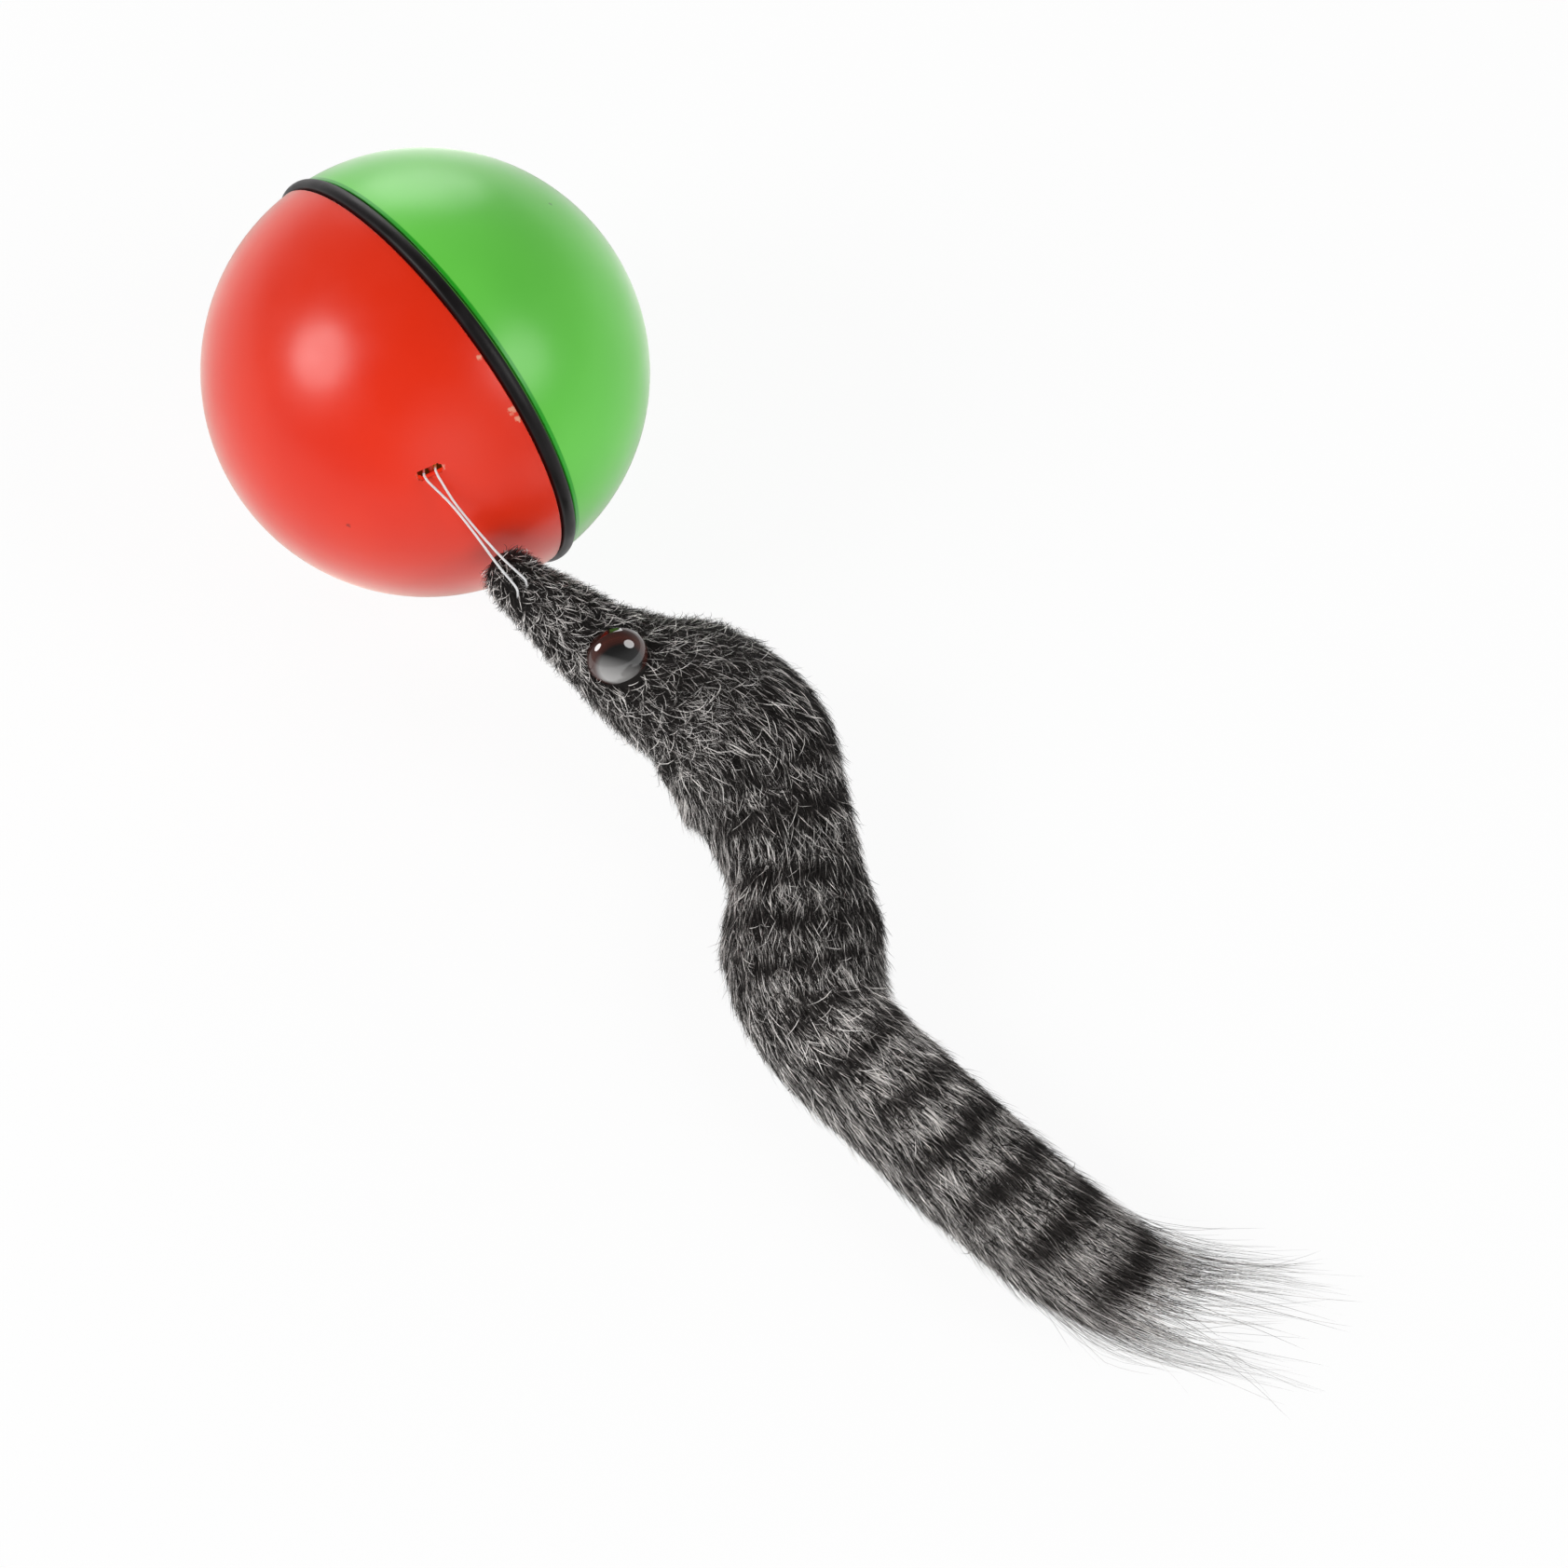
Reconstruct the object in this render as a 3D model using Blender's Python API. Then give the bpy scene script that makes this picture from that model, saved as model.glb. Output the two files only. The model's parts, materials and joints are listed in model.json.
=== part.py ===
"""Electric ball cat toy.

A two-colour ball, held shut by a bayonet and a rubber band, hangs a motor unit on the axis of its poles.
The motor turns the unit against the shells, so the ball rolls and tows a stuffed creature on a nylon line.
Metres, +Z up. The ball stands on its band, its pole axis lies along Y, and the creature lies towards +X.
The origin is the middle of the whole toy's footprint, on the floor.
Shapes are made round the ball's centre, with the red pole at -Y, and the whole is then set on the floor.
"""

import math

import bmesh
import bpy
from mathutils import Matrix, Vector, geometry

# Ball and shells
ball_diameter = 0.082
shell_wall = 0.002
shell_clearance = 0.00035
shell_facets = 48
shell_steps = 9

# Rubber band round the seam
band_width = 0.0025
band_proud = 0.0008
band_crown = 0.0004

# Bayonet between the halves
collar_wall = 0.0017
collar_reach = 0.007
collar_root = 0.006
lug_count = 3
lug_width = 0.0022
lug_place = 0.0042
lug_overlap = 0.0008
lug_angle = math.radians(3.2)
lug_first_angle = math.radians(35)
twist_angle = math.radians(20)
lug_clearance_angle = math.radians(0.9)

# Pole bosses inside the shells
drive_boss_radius = 0.0072
drive_boss_height = 0.008
pivot_boss_radius = 0.0048
pivot_boss_height = 0.0075
boss_facets = 24

# Drive hub, a hexagonal plug on the output shaft
hub_across_flats = 0.0072
hub_plug_length = 0.0056
hub_flange_radius = 0.0055
hub_flange_thickness = 0.0014
hub_bore_depth = 0.004
hub_clearance = 0.0003

# Line slot in the red half, its toggle and the nylon line
slot_latitude = math.radians(28.7)
slot_longitude = math.radians(50.1)
slot_length = 0.005
slot_width = 0.002
toggle_diameter = 0.0012
toggle_length = 0.0078
line_diameter = 0.00045
line_clearance = 0.0003
line_rise = 0.0008
stitch_radius = 0.0016
stitch_depth = 0.0048
stitch_share = 1.2
stitch_tilt = math.radians(22)

# Battery and its contacts
battery_diameter = 0.0145
battery_length = 0.0505
battery_nub_diameter = 0.0055
battery_nub_length = 0.0014
battery_edge = 0.0006
battery_side = 0.0082
battery_drop = 0.0144
battery_clearance = 0.00035
spring_wire = 0.0006
spring_wide_radius = 0.0043
spring_narrow_radius = 0.0030
spring_pitch = 0.00112
spring_turns = 3
contact_size = 0.0085
contact_thickness = 0.0005

# Motor
motor_diameter = 0.020
motor_flats = 0.0151
motor_length = 0.0225
motor_cap_length = 0.003
motor_boss_diameter = 0.006
motor_boss_length = 0.0026
motor_shaft_diameter = 0.0015
motor_shaft_depth = 0.004
motor_side = 0.0095
motor_drop = 0.011
motor_clearance = 0.00035
terminal_width = 0.0022
terminal_height = 0.0013
terminal_spacing = 0.0085

# Gear train: three steps, each with eight teeth on twenty-four
gear_module = 0.0005
pinion_teeth = 8
wheel_teeth = 24
gear_face = 0.002
gear_gap = 0.0004
gear_backlash = 0.00014
addendum_share = 0.85
dedendum_share = 1.15
pinion_tip_share = 0.45
pinion_root_share = 0.85
wheel_tip_share = 0.5
wheel_root_share = 1.4
gearbox_place = 0.017
first_wheel_reach = 0.012
axle_diameter = 0.0015
axle_clearance = 0.0003
pinion_clearance = 0.0002
output_shaft_diameter = 0.004
output_bore_depth = 0.0014
bore_facets = 12

# Drive case, gearbox plate and gearbox cover
drive_clearance = 0.0004
case_wall = 0.0011
case_step = 0.0002
case_clearance = 0.0003
lead_channel = 0.0009
pivot_arm_radius = 0.0052
pivot_arm_thickness = 0.0026
split_drop = 0.0125
case_ear = 0.0022
case_ear_height = 0.0024
case_ear_place = 0.011
plate_thickness = 0.0018
gearbox_wall = 0.0009
gearbox_end = 0.0014
gearbox_ear = 0.0023
hull_points = 20

# Pivot pin and bush at the green pole
pin_diameter = 0.003
pin_seat = 0.0018
bush_wall = 0.001
bush_length = 0.005
running_clearance = 0.0003

# Screws
screw_diameter = 0.0014
screw_head_diameter = 0.003
screw_head_height = 0.001
screw_slot_width = 0.0005
screw_slot_depth = 0.0005
screw_crown_share = 0.8
screw_facets = 12

# Slide switch
switch_length = 0.0078
switch_height = 0.0036
switch_depth = 0.0032
switch_side = 0.0026
switch_drop = 0.0034
switch_travel = 0.003
knob_length = 0.0026
knob_height = 0.0018
knob_proud = 0.0016
knob_foot = 0.0007
knob_foot_lip = 0.0006

# Leads between the contacts, the switch and the motor
lead_diameter = 0.0010

# Creature, lying on its side with its nose beside the ball
creature_reach = 0.200
body_width = 0.028
body_depth = 0.025
floor_flat = 0.0005
nose_gap = 0.0045
nose_latitude = math.radians(21.8)
nose_longitude = math.radians(78.8)
nose_round = 0.0042
piece_gap = 0.0003
section_points = 20
# One row a station: how far forward and how far sideways as shares of the reach, the height as a
# share of the way up from the lying body to the nose, then the half width and half depth as shares
spine_shares = [
    (0.000, 0.000, 1.00, 0.168, 0.180),
    (0.034, 0.003, 0.92, 0.200, 0.200),
    (0.062, 0.016, 0.80, 0.254, 0.245),
    (0.101, 0.033, 0.64, 0.318, 0.310),
    (0.143, 0.059, 0.46, 0.443, 0.425),
    (0.174, 0.085, 0.30, 0.561, 0.480),
    (0.224, 0.098, 0.13, 0.614, 0.500),
    (0.276, 0.087, 0.03, 0.518, 0.500),
    (0.338, 0.061, 0.00, 0.468, 0.490),
    (0.385, 0.029, 0.00, 0.543, 0.500),
    (0.424, 0.000, 0.00, 0.536, 0.500),
    (0.476, -0.022, 0.00, 0.468, 0.490),
    (0.573, -0.017, 0.00, 0.450, 0.500),
    (0.676, -0.009, 0.00, 0.446, 0.490),
    (0.782, 0.007, -0.02, 0.421, 0.455),
    (0.860, 0.040, -0.10, 0.321, 0.325),
    (0.929, 0.099, -0.19, 0.186, 0.195),
    (1.002, 0.164, -0.25, 0.086, 0.100),
]
# The stations where one piece of the creature ends and the next begins
piece_end_shares = {"head": 4.6, "shoulder": 7.4, "middle": 10.6, "hind": 14.4, "tail": 17.0}

# Safety eyes
eye_diameter = 0.0113
eye_height = 0.0044
eye_rim_share = 0.25
eye_place_share = 3.12
eye_tilt = math.radians(24)
eye_seat_share = 0.80
eye_stem_diameter = 0.0022
eye_stem_length = 0.0042
eye_clearance = 0.0003
eye_facets = 20

# Cutters run this far past what they cut
overrun = 0.001
smooth_angle = math.radians(38)

# Sizes that follow from the ones above
ball_radius = ball_diameter / 2
inner_radius = ball_radius - shell_wall
band_outer = ball_radius + band_proud
ball_height = band_outer * math.cos(math.pi / shell_facets)
rim_place = band_width / 2 + shell_clearance
collar_outer = math.sqrt(inner_radius**2 - collar_reach**2) - shell_clearance
collar_inner = collar_outer - collar_wall
drive_boss_face = drive_boss_height - inner_radius
pivot_boss_face = inner_radius - pivot_boss_height
battery_radius = battery_diameter / 2
motor_radius = motor_diameter / 2
motor_shaft_radius = motor_shaft_diameter / 2
motor_boss_hole = motor_boss_diameter / 2 + case_clearance
axle_radius = axle_diameter / 2
gear_distance = gear_module * (pinion_teeth + wheel_teeth) / 2
wheel_tip = gear_module * (wheel_teeth / 2 + addendum_share)
pinion_tip = gear_module * (pinion_teeth / 2 + addendum_share)
gear_layer = gear_face + gear_gap
cover_inner = -gearbox_place - 3 * gear_layer - gear_gap
cover_outer = cover_inner - gearbox_end
plate_rear = plate_thickness - gearbox_place
case_front = plate_rear + case_clearance
motor_front = case_front + case_wall + case_clearance
motor_rear = motor_front + motor_length + case_clearance + motor_cap_length
case_rear = motor_rear + terminal_height + 2 * case_clearance
spring_length = spring_pitch * spring_turns + spring_wire
bay_half = (spring_length + battery_length + contact_thickness) / 2 + 2 * case_clearance
tube_half = bay_half + case_wall
battery_start = 2 * case_clearance + spring_length - bay_half
toggle_depth = math.sqrt(inner_radius**2 - (toggle_length / 2) ** 2) - line_clearance - toggle_diameter / 2
strand_half = toggle_diameter / 2 + line_clearance + line_diameter / 2
strand_near = (line_diameter + line_clearance) / 2

# Places across the pole axis, as (x, z)
axis_point = Vector((0, 0))
battery_point = Vector((-battery_side, -battery_drop))
motor_point = Vector((motor_side, -motor_drop))


def clear_scene():
    for obj in list(bpy.data.objects):
        bpy.data.objects.remove(obj, do_unlink=True)


def make_material(name, colour, roughness, metallic=0.0):
    material = bpy.data.materials.new(name)
    material.use_nodes = True
    shader = material.node_tree.nodes["Principled BSDF"]
    shader.inputs["Base Color"].default_value = (*colour, 1.0)
    shader.inputs["Roughness"].default_value = roughness
    shader.inputs["Metallic"].default_value = metallic
    return material


# Shape helpers


def to_object(name, bm, material):
    """Turns a bmesh into an object, with its faces outward and its curved stretches smooth."""
    bmesh.ops.recalc_face_normals(bm, faces=bm.faces)
    mesh = bpy.data.meshes.new(name)
    bm.to_mesh(mesh)
    bm.free()
    mesh.materials.append(material)
    obj = bpy.data.objects.new(name, mesh)
    bpy.context.collection.objects.link(obj)
    smooth(obj)
    return obj


def smooth(obj):
    obj.data.shade_smooth()
    obj.data.set_sharp_from_angle(angle=smooth_angle)


def around_axis(y, radius, angle):
    """A point round the pole axis, with its angle counted from straight up towards +X."""
    return Vector((radius * math.sin(angle), y, radius * math.cos(angle)))


def join_rings(bm, first, second):
    """Faces between two rings of one length, or between a ring and a single point."""
    count = max(len(first), len(second))
    for i in range(count):
        j = (i + 1) % count
        if len(first) == 1:
            bm.faces.new((first[0], second[i], second[j]))
        elif len(second) == 1:
            bm.faces.new((first[i], first[j], second[0]))
        else:
            bm.faces.new((first[i], first[j], second[j], second[i]))


def revolve(name, profile, facets, material, centre=axis_point):
    """A turned solid round a line along Y. The profile holds (y, radius) pairs, and a 0 radius closes it."""
    bm = bmesh.new()
    middle = Vector((centre.x, 0, centre.y))
    rings = []
    for y, radius in profile:
        angles = [(i + 0.5) * 2 * math.pi / facets for i in range(facets if radius > 0 else 1)]
        rings.append([bm.verts.new(middle + around_axis(y, radius, angle)) for angle in angles])
    for first, second in zip(rings, rings[1:]):
        join_rings(bm, first, second)
    if len(rings[0]) > 1:
        join_rings(bm, rings[-1], rings[0])
    return to_object(name, bm, material)


def rod(name, centre, radius, start, end, facets, material):
    """A plain round rod along Y."""
    return revolve(name, [(start, 0), (start, radius), (end, radius), (end, 0)], facets, material, centre)


def prism(name, outline, start, end, material):
    """An outline of (x, z) points, extruded along Y."""
    bm = bmesh.new()
    near = [bm.verts.new((p[0], start, p[1])) for p in outline]
    far = [bm.verts.new((p[0], end, p[1])) for p in outline]
    join_rings(bm, near, far)
    bm.faces.new(near)
    bm.faces.new(far)
    return to_object(name, bm, material)


def block(name, middle, sides, material):
    """A box whose three sides are given as vectors, so it may be turned."""
    bm = bmesh.new()
    corners = {}
    for a in (-0.5, 0.5):
        for b in (-0.5, 0.5):
            for c in (-0.5, 0.5):
                corners[a, b, c] = bm.verts.new(middle + sides[0] * a + sides[1] * b + sides[2] * c)
    square = ((-0.5, -0.5), (0.5, -0.5), (0.5, 0.5), (-0.5, 0.5))
    for axis in range(3):
        for side in (-0.5, 0.5):
            bm.faces.new([corners[turned(axis, side, pair)] for pair in square])
    return to_object(name, bm, material)


def turned(axis, side, pair):
    key = list(pair)
    key.insert(axis, side)
    return tuple(key)


def along(x=0.0, y=0.0, z=0.0):
    """The three sides of an upright box."""
    return Vector((x, 0, 0)), Vector((0, y, 0)), Vector((0, 0, z))


def combine(target, tool, operation):
    """Cuts, joins or trims the target with the tool, and removes the tool."""
    modifier = target.modifiers.new(operation.title(), "BOOLEAN")
    modifier.operation = operation
    modifier.solver = "EXACT"
    modifier.object = tool
    result = bpy.data.meshes.new_from_object(target.evaluated_get(bpy.context.evaluated_depsgraph_get()))
    target.modifiers.clear()
    result.name = target.name
    material = target.data.materials[0]
    target.data = result
    result.materials.clear()
    result.materials.append(material)
    bpy.data.objects.remove(tool, do_unlink=True)
    smooth(target)
    return target


def cut(target, tool):
    return combine(target, tool, "DIFFERENCE")


def weld(target, tool):
    return combine(target, tool, "UNION")


def circle(centre, radius, count):
    angles = [(i + 0.5) * 2 * math.pi / count for i in range(count)]
    return [centre + Vector((math.sin(a), math.cos(a))) * radius for a in angles]


def hull(circles):
    """The outline that a band stretched round some circles would take."""
    points = [p for centre, radius in circles for p in circle(centre, radius, hull_points)]
    return [points[i] for i in geometry.convex_hull_2d(points)]


def tube(name, points, diameter, resolution, material):
    """A round tube along points, with closed ends."""
    curve = bpy.data.curves.new(name, "CURVE")
    curve.dimensions = "3D"
    curve.bevel_depth = diameter / 2
    curve.bevel_resolution = resolution
    curve.use_fill_caps = True
    spline = curve.splines.new("POLY")
    spline.points.add(len(points) - 1)
    for point, place in zip(spline.points, points):
        point.co = (*place, 1.0)
    curve.materials.append(material)
    obj = bpy.data.objects.new(name, curve)
    bpy.context.collection.objects.link(obj)
    return obj


def smooth_route(places, step):
    """A smooth curve through some places, read at even steps."""
    dense = []
    for i in range(len(places) - 1):
        before = places[max(i - 1, 0)]
        after = places[min(i + 2, len(places) - 1)]
        for k in range(40):
            dense.append(blend_points(before, places[i], places[i + 1], after, k / 40))
    dense.append(places[-1])
    return even_points(dense, step)


def blend_points(a, b, c, d, t):
    """Catmull-Rom blend from b to c."""
    return (b * 2 + (c - a) * t + (a * 2 - b * 5 + c * 4 - d) * t**2 + (b * 3 - a - c * 3 + d) * t**3) / 2


def even_points(dense, step):
    lengths = [0.0]
    for a, b in zip(dense, dense[1:]):
        lengths.append(lengths[-1] + (b - a).length)
    count = max(2, round(lengths[-1] / step))
    points = []
    k = 0
    for i in range(count + 1):
        goal = lengths[-1] * i / count
        while k < len(lengths) - 2 and lengths[k + 1] < goal:
            k += 1
        span = max(lengths[k + 1] - lengths[k], line_diameter * 1e-6)
        points.append(dense[k].lerp(dense[k + 1], min(1.0, (goal - lengths[k]) / span)))
    return points


def meeting_point(a, reach_a, b, reach_b, side):
    """Where two circles meet, on the side named by +1 or -1."""
    line = b - a
    span = line.length
    foot = (span**2 + reach_a**2 - reach_b**2) / (2 * span)
    rise = math.sqrt(reach_a**2 - foot**2)
    way = line / span
    return a + way * foot + Vector((-way.y, way.x)) * rise * side


# Ball shells


def sphere_arc(radius, start, end, steps):
    """(y, radius) pairs on a sphere, between two angles counted from the +Y pole."""
    angles = [start + (end - start) * i / steps for i in range(steps + 1)]
    return [(radius * math.cos(a), radius * math.sin(a)) for a in angles]


def sector(name, start, end, inner, outer, angle, half_angle, material):
    """A curved block round the pole axis, used for lugs and their slots."""
    steps = max(2, round(half_angle / math.radians(2.5)))
    bm = bmesh.new()
    slices = []
    for i in range(steps + 1):
        a = angle + half_angle * (2 * i / steps - 1)
        corners = ((start, inner), (end, inner), (end, outer), (start, outer))
        slices.append([bm.verts.new(around_axis(y, r, a)) for y, r in corners])
    for first, second in zip(slices, slices[1:]):
        join_rings(bm, first, second)
    bm.faces.new(slices[0])
    bm.faces.new(slices[-1])
    return to_object(name, bm, material)


def lug_angles():
    return [lug_first_angle + 2 * math.pi * i / lug_count for i in range(lug_count)]


def slot_frame():
    """The line slot's outward direction, its long direction along the meridian, and its short one."""
    out = around_axis(-math.sin(slot_latitude), math.cos(slot_latitude), slot_longitude)
    long = around_axis(math.cos(slot_latitude), math.sin(slot_latitude), slot_longitude)
    return out, long, out.cross(long)


def make_red_half(material):
    """The red shell, its pole boss, and the collar that reaches into the green half."""
    rim = math.acos(rim_place / ball_radius)
    root = math.acos(collar_root / inner_radius)
    boss = math.asin(drive_boss_radius / inner_radius)
    outside = [(-y, r) for y, r in sphere_arc(ball_radius, 0, rim, shell_steps)]
    collar = [
        (-rim_place, collar_outer),
        (collar_reach, collar_outer),
        (collar_reach, collar_inner),
        (-collar_root, collar_inner),
    ]
    inside = [(-y, r) for y, r in sphere_arc(inner_radius, root, boss, shell_steps)]
    centre = [(drive_boss_face, drive_boss_radius), (drive_boss_face, 0)]
    outside[0] = (-ball_radius, 0)
    shell = revolve("red_half_shell", outside + collar + inside + centre, shell_facets, material)
    for angle in lug_angles():
        cut(shell, bayonet_slot(angle, material))
    cut(shell, hex_prism("socket", hub_clearance, drive_boss_face + overrun, socket_floor(), material))
    out, long, short = slot_frame()
    middle = out * (ball_radius - shell_wall / 2)
    sides = (out * (shell_wall + 2 * overrun), long * slot_length, short * slot_width)
    return cut(shell, block("slot", middle, sides, material))


def bayonet_slot(angle, material):
    """An L-shaped way through the collar: a lug enters along the axis and is then turned under the lip."""
    half = lug_angle + lug_clearance_angle
    low = lug_place - lug_width / 2 - shell_clearance
    high = lug_place + lug_width / 2 + shell_clearance
    inner = collar_inner - overrun
    outer = collar_outer + overrun
    middle = angle + twist_angle / 2
    across = sector("across", low, high, inner, outer, middle, half + twist_angle / 2, material)
    start = low + shell_clearance / 2
    end = collar_reach + overrun
    narrow = half - lug_clearance_angle / 4
    turned_in = angle + twist_angle
    entry = sector("entry", start, end, inner + overrun / 2, outer - overrun / 4, turned_in, narrow, material)
    return weld(across, entry)


def make_green_half(material):
    """The green shell, its pivot boss and its bayonet lugs."""
    rim = math.acos(rim_place / ball_radius)
    inner_rim = math.acos(rim_place / inner_radius)
    boss = math.asin(pivot_boss_radius / inner_radius)
    outside = sphere_arc(ball_radius, 0, rim, shell_steps)
    inside = sphere_arc(inner_radius, inner_rim, boss, shell_steps)
    outside[0] = (ball_radius, 0)
    centre = [(pivot_boss_face, pivot_boss_radius), (pivot_boss_face, 0)]
    shell = revolve("green_half_shell", outside + inside + centre, shell_facets, material)
    start = lug_place - lug_width / 2
    outer = math.sqrt(inner_radius**2 - (start + lug_width) ** 2) + lug_overlap
    for angle in lug_angles():
        weld(shell, sector("lug", start, start + lug_width, collar_inner, outer, angle, lug_angle, material))
    seat = bush_bore() + bush_wall + shell_clearance
    low = pivot_boss_face - overrun
    high = pivot_boss_face + bush_length + shell_clearance
    return cut(shell, rod("seat", axis_point, seat, low, high, boss_facets, material))


def make_band(material):
    """The rubber band: a flat inner face on the collar and a crowned outer face."""
    half = band_width / 2
    seat = collar_outer + shell_clearance
    side = band_outer - band_crown
    crown = [(-half / 2, band_outer), (half / 2, band_outer)]
    profile = [(-half, seat), (-half, side), *crown, (half, side), (half, seat)]
    return revolve("equator_band", profile, shell_facets, material)


# Drive hub and output


def socket_floor():
    return drive_boss_face - hub_plug_length - hub_clearance


def hex_prism(name, growth, start, end, material):
    """A hexagonal plug or its socket."""
    radius = (hub_across_flats / 2 + growth) / math.cos(math.pi / 6)
    return prism(name, circle(axis_point, radius, 6), start, end, material)


def make_drive_hub(material):
    """The plug that keys the output shaft into the red half."""
    flange_end = drive_boss_face + hub_clearance
    face = flange_end + hub_flange_thickness
    plug_end = flange_end + hub_flange_thickness / 2
    hub = hex_prism("drive_hub", 0, drive_boss_face - hub_plug_length, plug_end, material)
    weld(hub, rod("flange", axis_point, hub_flange_radius, flange_end, face, boss_facets, material))
    bore = output_shaft_diameter / 2 * drive_scale() + hub_clearance
    floor = face - hub_bore_depth - hub_flange_thickness
    return cut(hub, rod("bore", axis_point, bore, floor, face + overrun, bore_facets, material))


def gear_outline(centre, teeth, tip_share, root_share, angle):
    """Teeth with straight flanks, thinned by the backlash, one of them pointing along the angle."""
    half = math.pi * gear_module / 4 - gear_backlash / 2
    root = gear_module * (teeth / 2 - dedendum_share)
    tip = gear_module * (teeth / 2 + addendum_share)
    points = []
    for i in range(teeth):
        middle = angle + 2 * math.pi * i / teeth
        for radius, width in ((root, -root_share), (tip, -tip_share), (tip, tip_share), (root, root_share)):
            a = middle + width * half / radius
            points.append(centre + Vector((math.sin(a), math.cos(a))) * radius)
    return points


def heading(start, end):
    """The angle from one place to another, counted from straight up towards +X."""
    return math.atan2(end.x - start.x, end.y - start.y)


def gear_places():
    """The two compound wheels' places, which follow from the gear distance and the motor's place."""
    first = meeting_point(axis_point, first_wheel_reach, motor_point, gear_distance, 1)
    second = meeting_point(axis_point, gear_distance, first, gear_distance, 1)
    return first, second


def layer_start(layer):
    return -gearbox_place - gear_gap - layer * gear_layer


def pinion(name, centre, layer, depth, toward, material):
    """Eight teeth, one of them pointing at the wheel that it drives."""
    angle = heading(centre, toward)
    outline = gear_outline(centre, pinion_teeth, pinion_tip_share, pinion_root_share, angle)
    start = layer_start(layer) - gear_face
    return prism(name, outline, start, start + depth, material)


def wheel(name, centre, layer, toward, material):
    """Twenty-four teeth, with a gap facing the pinion that drives it."""
    angle = heading(centre, toward) + math.pi / wheel_teeth
    outline = gear_outline(centre, wheel_teeth, wheel_tip_share, wheel_root_share, angle)
    return prism(name, outline, layer_start(layer) - gear_face, layer_start(layer), material)


def make_compound_gear(name, centre, layer, driver, driven, material):
    """A wheel with the next step's pinion moulded on, turning on a steel axle."""
    gear = wheel(name, centre, layer, driver, material)
    weld(gear, pinion("teeth", centre, layer + 1, gear_layer + gear_face / 2, driven, material))
    start = layer_start(layer + 1) - gear_face - overrun
    return cut(gear, axle_hole(centre, start, layer_start(layer) + overrun, material))


def make_output_gear(driver, material):
    """The last wheel, with the shaft that turns the red half."""
    gear = wheel("output_gear", axis_point, 2, driver, material)
    start = (drive_boss_face + hub_clearance + hub_flange_thickness - hub_bore_depth) / drive_scale()
    end = layer_start(2) - gear_face / 2
    weld(gear, rod("shaft", axis_point, output_shaft_diameter / 2, start, end, bore_facets, material))
    floor = layer_start(2) - output_bore_depth
    return cut(gear, axle_hole(axis_point, floor, layer_start(2) + overrun, material))


def make_motor_pinion(driven, material):
    gear = pinion("motor_pinion", motor_point, 0, gear_face, driven, material)
    bore = motor_shaft_radius + pinion_clearance
    start = layer_start(0) - gear_face - overrun
    return cut(gear, rod("bore", motor_point, bore, start, layer_start(0) + overrun, bore_facets, material))


# Drive unit: how it fits the shells


def drive_scale():
    """The drive unit is made in its own sizes, then scaled to clear the shells by drive_clearance."""
    corners = [(tube_half, battery_point.length + battery_radius + battery_clearance + case_wall)]
    head = cover_outer - case_clearance - screw_head_height
    for ear in gearbox_ears():
        corners.append((cover_outer, ear.length + gearbox_ear))
        corners.append((head, ear.length + screw_head_diameter / 2))
    return (inner_radius - drive_clearance) / max(math.hypot(y, reach) for y, reach in corners)


def fitted(obj):
    """Fits a piece of the drive unit into the shells."""
    obj.data.transform(Matrix.Scale(drive_scale(), 4))
    return obj


def bush_bore():
    """The radius of the hole that the pivot pin turns in."""
    return pin_diameter / 2 * drive_scale() + running_clearance


# Drive unit: gearbox plate, cover and axles


def gearbox_ears():
    """Three screw places round the gears."""
    first, second = gear_places()
    upper = Vector((-0.6, 0.8)) * (wheel_tip + gearbox_wall + gearbox_ear)
    right = first + Vector((0.82, 0.57)) * (wheel_tip + gearbox_wall + gearbox_ear)
    lower = motor_point + Vector((0.32, -0.95)) * (pinion_tip + gearbox_wall + gearbox_ear + gear_gap)
    return upper, right, lower


def gearbox_outline(wall, with_ears):
    first, second = gear_places()
    room = case_clearance + wall
    circles = [(axis_point, wheel_tip + room), (first, wheel_tip + room), (second, wheel_tip + room)]
    circles.append((motor_point, pinion_tip + room))
    if with_ears:
        circles += [(ear, gearbox_ear) for ear in gearbox_ears()]
    return hull(circles)


def axle_hole(place, start, end, material):
    return rod("hole", place, axle_radius + axle_clearance, start, end, bore_facets, material)


def screw_hole(place, start, end, material):
    return rod("hole", place, screw_diameter / 2 + case_clearance, start, end, screw_facets, material)


def make_gearbox_plate(material):
    """The plate between the motor and the gears."""
    plate = prism("gearbox_plate", gearbox_outline(gearbox_wall, True), -gearbox_place, plate_rear, material)
    start = -gearbox_place - overrun
    end = plate_rear + overrun
    for place in (*gear_places(), axis_point):
        cut(plate, axle_hole(place, start, end, material))
    for place in gearbox_ears():
        cut(plate, screw_hole(place, start, end, material))
    return cut(plate, rod("boss", motor_point, motor_boss_hole, start, end, boss_facets, material))


def make_gearbox_cover(material):
    """The cup over the gears, with the output shaft's bearing in its end."""
    rim = -gearbox_place - case_clearance
    cover = prism("gearbox_cover", gearbox_outline(gearbox_wall, True), cover_outer, rim, material)
    cut(cover, prism("room", gearbox_outline(0, False), cover_inner, rim + overrun, material))
    start = cover_outer - overrun
    end = cover_inner + overrun
    for place in gear_places():
        cut(cover, axle_hole(place, start, end, material))
    for place in gearbox_ears():
        cut(cover, screw_hole(place, start, rim + overrun, material))
    bearing = output_shaft_diameter / 2 + running_clearance
    return cut(cover, rod("bearing", axis_point, bearing, start, end, boss_facets, material))


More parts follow.
